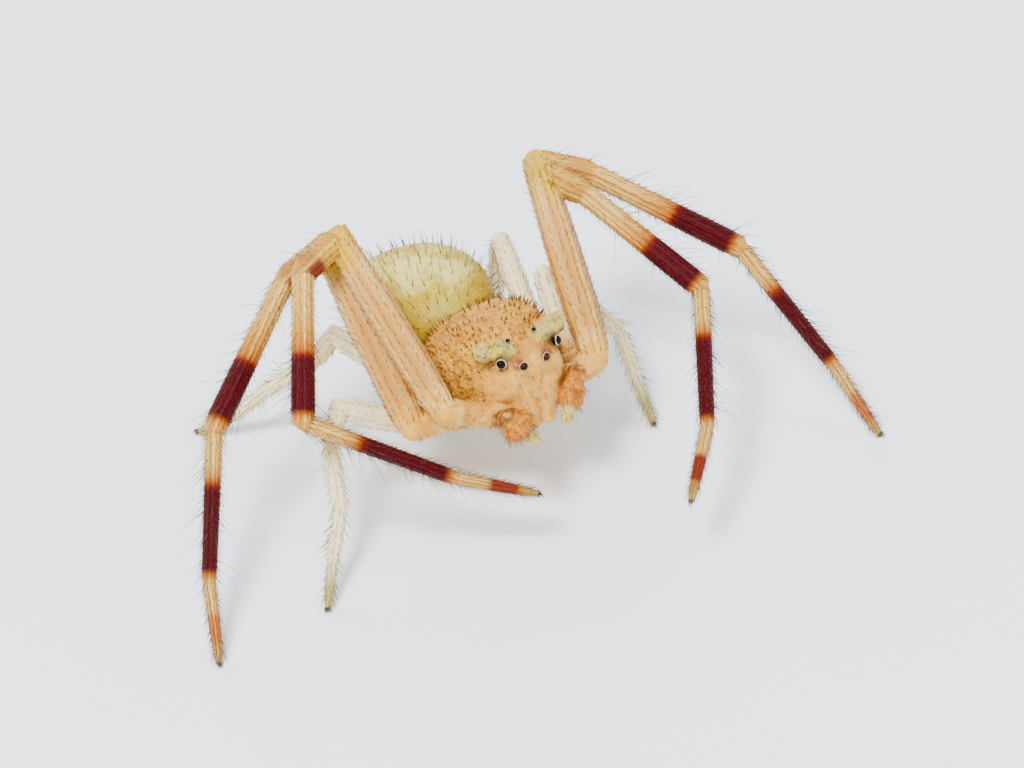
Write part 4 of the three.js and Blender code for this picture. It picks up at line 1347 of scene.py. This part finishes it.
def line_hairs(name, lines, style, material):
    """Hairs round tubes, each given as (start, end, radius, count)."""
    feet, unwrap = [], []
    corner = UNWRAP[name]
    for row, (a, b, radius, count) in enumerate(lines):
        axis = unit(b - a)
        u = unit(np.cross(axis, (0.3, 0.2, 1.0)))
        v = np.cross(axis, u)
        t, around = rng.uniform(0, 1, count), rng.uniform(0, 1, count)
        turn = 2 * np.pi * around
        out = np.cos(turn)[:, None] * u + np.sin(turn)[:, None] * v
        feet.append(a + t[:, None] * (b - a) + out * radius)
        unwrap.append(np.stack([corner[0] + 0.08 * t, corner[1] + (row + around) * 0.012], axis=1))
    feet, out = snap(np.concatenate(feet))
    scattered(name, feet, out, style, material, np.concatenate(unwrap))


def palp_lines():
    """The arm and the last joint of each palp, for its hairs."""
    lines = []
    for letter, s in SIDES:
        elbow, wrist, bulb, tip = palp_places(letter, s)
        lines += [(elbow, wrist, 0.19, 46), (bulb, tip, PALPS[letter]["radius"], 120)]
    return lines


def coxa_lines(shapes):
    lines = []
    for shape in shapes:
        root, hip = coxa_root(shape["leg"]), shape["joints"][0]
        lines.append((root + (hip - root) * 0.3, hip, COXA_RADIUS[shape["leg"][1]], 90))
    return lines


def margin_hairs(material):
    """A row of fine hairs along each lower edge of the carapace, and a few long ones on the face."""
    feet, unwrap = [], []
    for side in (0.0, math.pi):
        for back in np.linspace(0.25, 2.5, 44):
            angle = (0.06 if side == 0 else -0.06) + side
            feet.append(on_shell(CARAPACE, CARAPACE_ROUNDNESS, back + rng.uniform(-0.02, 0.02), angle))
            unwrap.append((0.3 + 0.1 * back / 3, 0.9 + 0.01 * side))
    edge = len(feet)
    for x, z in FACE_HAIRS:
        for s in (-1, 1):
            feet.append(on_body(s * x, -0.2, z))
            unwrap.append((0.42 + 0.05 * x, 0.93 + 0.02 * z))
    feet, out = snap(np.array(feet))
    scattered("margin_hairs", feet[:edge], out[:edge], MARGIN_STYLE, material, unwrap[:edge])
    scattered("face_hairs", feet[edge:], out[edge:], FACE_STYLE, material, unwrap[edge:])


def make_eyes():
    dark = eye_material("eye_black", EYE_BLACK, EYE_GREY)
    red = eye_material("eye_red_brown", EYE_DARK_RED, EYE_RED)
    rims = []
    for place, (x, y, z, radius) in EYES.items():
        for letter, s in SIDES:
            centre = on_body(s * x, y, z)
            piece = new_object(f"eye_{letter}_{place}", *ball(centre, radius, 24, 40))
            piece.data.materials.append(red if place == "front_middle" else dark)
            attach(piece, "root")
            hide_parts(f"{letter}_{place}_eye")
            out = eye_direction(place, s)
            u = unit(np.cross(out, (0, 0, 1)))
            v = np.cross(out, u)
            rim_rings = []
            for c in np.linspace(0, 2 * np.pi, 41):
                way = math.cos(c) * u + math.sin(c) * v
                middle = centre + out * radius * 0.22 + way * radius * 0.97
                profile = np.linspace(0, 2 * np.pi, 12, endpoint=False)
                thick = radius * (0.115 + 0.02 * math.sin(3 * c + x * 9))
                ring = [middle + thick * (math.cos(q) * way + math.sin(q) * out) for q in profile]
                rim_rings.append(ring)
            rims.append(loft(rim_rings))
    piece = new_object("eye_rims", *joined(rims))
    piece.data.materials.append(rim_material())
    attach(piece, "root")


def eye_direction(place, side):
    ways = {"front_middle": (0.22, -1.0, 0.15), "front_side": (0.65, -0.75, 0.2),
            "rear_middle": (0.1, -0.45, 0.9), "rear_side": (0.95, 0.1, 0.25)}
    x, y, z = ways[place]
    return unit(np.array(tilt @ Vector((side * x, y, z))))


def make_fangs(horn):
    steps = np.linspace(0, 1, 8)
    for letter, s in SIDES:
        line = []
        for t in steps:
            drop = 0.06 * math.sin(math.pi * t / 2)
            line.append(on_body(s * (0.19 - 0.15 * t), -0.04 + 0.08 * t, -1.42 - drop))
        piece = new_object(f"fang_{letter}", *tube(line, [0.045 * (1 - 0.75 * t) for t in steps], 14))
        piece.data.materials.append(horn)
        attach(piece, "root")
        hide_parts(f"{letter}_fang")


# Set

FLOOR_HALF = 1500.0
SKY_COLOUR, SKY_STRENGTH = (0.88, 0.94, 1.0, 1.0), 1.25
LIT = (0, 0, 2)  # what the lamps face
# Lamps: name, place, size, watts and colour
LAMPS = (
    ("key", (-110, -70, 230), 70, 1.35, (1.0, 0.99, 0.98)),
    ("fill", (190, -160, 130), 160, 0.27, (0.95, 0.97, 1.0)),
    ("back", (60, 240, 160), 120, 0.5, (1.0, 1.0, 1.0)),
)


def make_camera():
    azimuth, elevation = math.radians(CAMERA_AZIMUTH), math.radians(CAMERA_ELEVATION)
    roll = math.radians(CAMERA_ROLL)
    right = Vector((math.cos(azimuth), -math.sin(azimuth), 0))
    ahead = Vector((math.sin(azimuth), math.cos(azimuth), 0))
    up = ahead * math.sin(elevation) + Vector((0, 0, math.cos(elevation)))
    away = ahead * math.cos(elevation) - Vector((0, 0, math.sin(elevation)))
    tilted_right = right * math.cos(roll) - up * math.sin(roll)
    tilted_up = right * math.sin(roll) + up * math.cos(roll)
    aim = FACE + Vector(LOOK_AT_BODY)
    place = (aim - away * CAMERA_DISTANCE) * MM
    data = bpy.data.cameras.new("camera")
    data.sensor_width = SENSOR
    data.lens = CAMERA_LENS
    data.clip_start = 0.01
    camera = linked("camera", data)
    turn = Matrix((tilted_right, tilted_up, -away)).transposed()
    camera.matrix_world = Matrix.Translation(place) @ turn.to_4x4()
    bpy.context.scene.camera = camera


def make_floor():
    half = FLOOR_HALF
    corners = [(-half, -half, 0), (half, -half, 0), (half, half, 0), (-half, half, 0)]
    floor = new_object("floor", corners, [(0, 1, 2, 3)], smooth=False)
    floor.data.materials.append(floor_material())


def area_light(name, place, size, watts, colour):
    """A square lamp that faces the spider. Place and size in millimetres."""
    data = bpy.data.lights.new(name, "AREA")
    data.size = size * MM
    data.energy = watts
    data.color = colour
    light = linked(name, data)
    turn = (Vector(place) - Vector(LIT)).to_track_quat("Z", "Y").to_matrix()
    light.matrix_world = Matrix.Translation(Vector(place) * MM) @ turn.to_4x4()


def make_lights():
    world = bpy.data.worlds.new("studio")
    world.use_nodes = True
    background = world.node_tree.nodes["Background"]
    background.inputs["Color"].default_value = SKY_COLOUR
    background.inputs["Strength"].default_value = SKY_STRENGTH
    bpy.context.scene.world = world
    for lamp in LAMPS:
        area_light(*lamp)


make_camera()
make_floor()
make_lights()
leg_shapes = [leg_frame(leg) for leg in POSE]
skin = make_skin(leg_shapes)
SKIN_TREE = tree_of(skin)
# In the order of BODY, BELLY, FRONT_1, FRONT_2 and REAR
for made in (body_material(), abdomen_material(), front_leg_material("1"), front_leg_material("2"),
             rear_leg_material()):
    skin.data.materials.append(made)
colour_skin(skin, leg_shapes)
leg_hair = hair_material("leg_hair", HAIR_DARK, HAIR_LIGHT)
bristle = hair_material("bristle", BRISTLE_DARK, BRISTLE_LIGHT)
horn = claw_material()
for shape in leg_shapes:
    leg_hairs(shape, leg_hair)
    leg_bristles(shape, bristle)
    make_claws(shape, horn, bristle)
spine_brown = hair_material("spine_brown", SPINE_DARK, SPINE_LIGHT)
shell_hairs("carapace_spines", CARAPACE, CARAPACE_ROUNDNESS, CARAPACE_AREA, CARAPACE_STYLE, spine_brown)
shell_hairs("abdomen_bristles", ABDOMEN, ABDOMEN_ROUNDNESS, ABDOMEN_AREA, ABDOMEN_STYLE, bristle)
margin_hairs(bristle)
line_hairs("palp_hairs", palp_lines(), PALP_STYLE, leg_hair)
line_hairs("coxa_hairs", coxa_lines(leg_shapes), COXA_STYLE, leg_hair)
make_eyes()
make_fangs(horn)
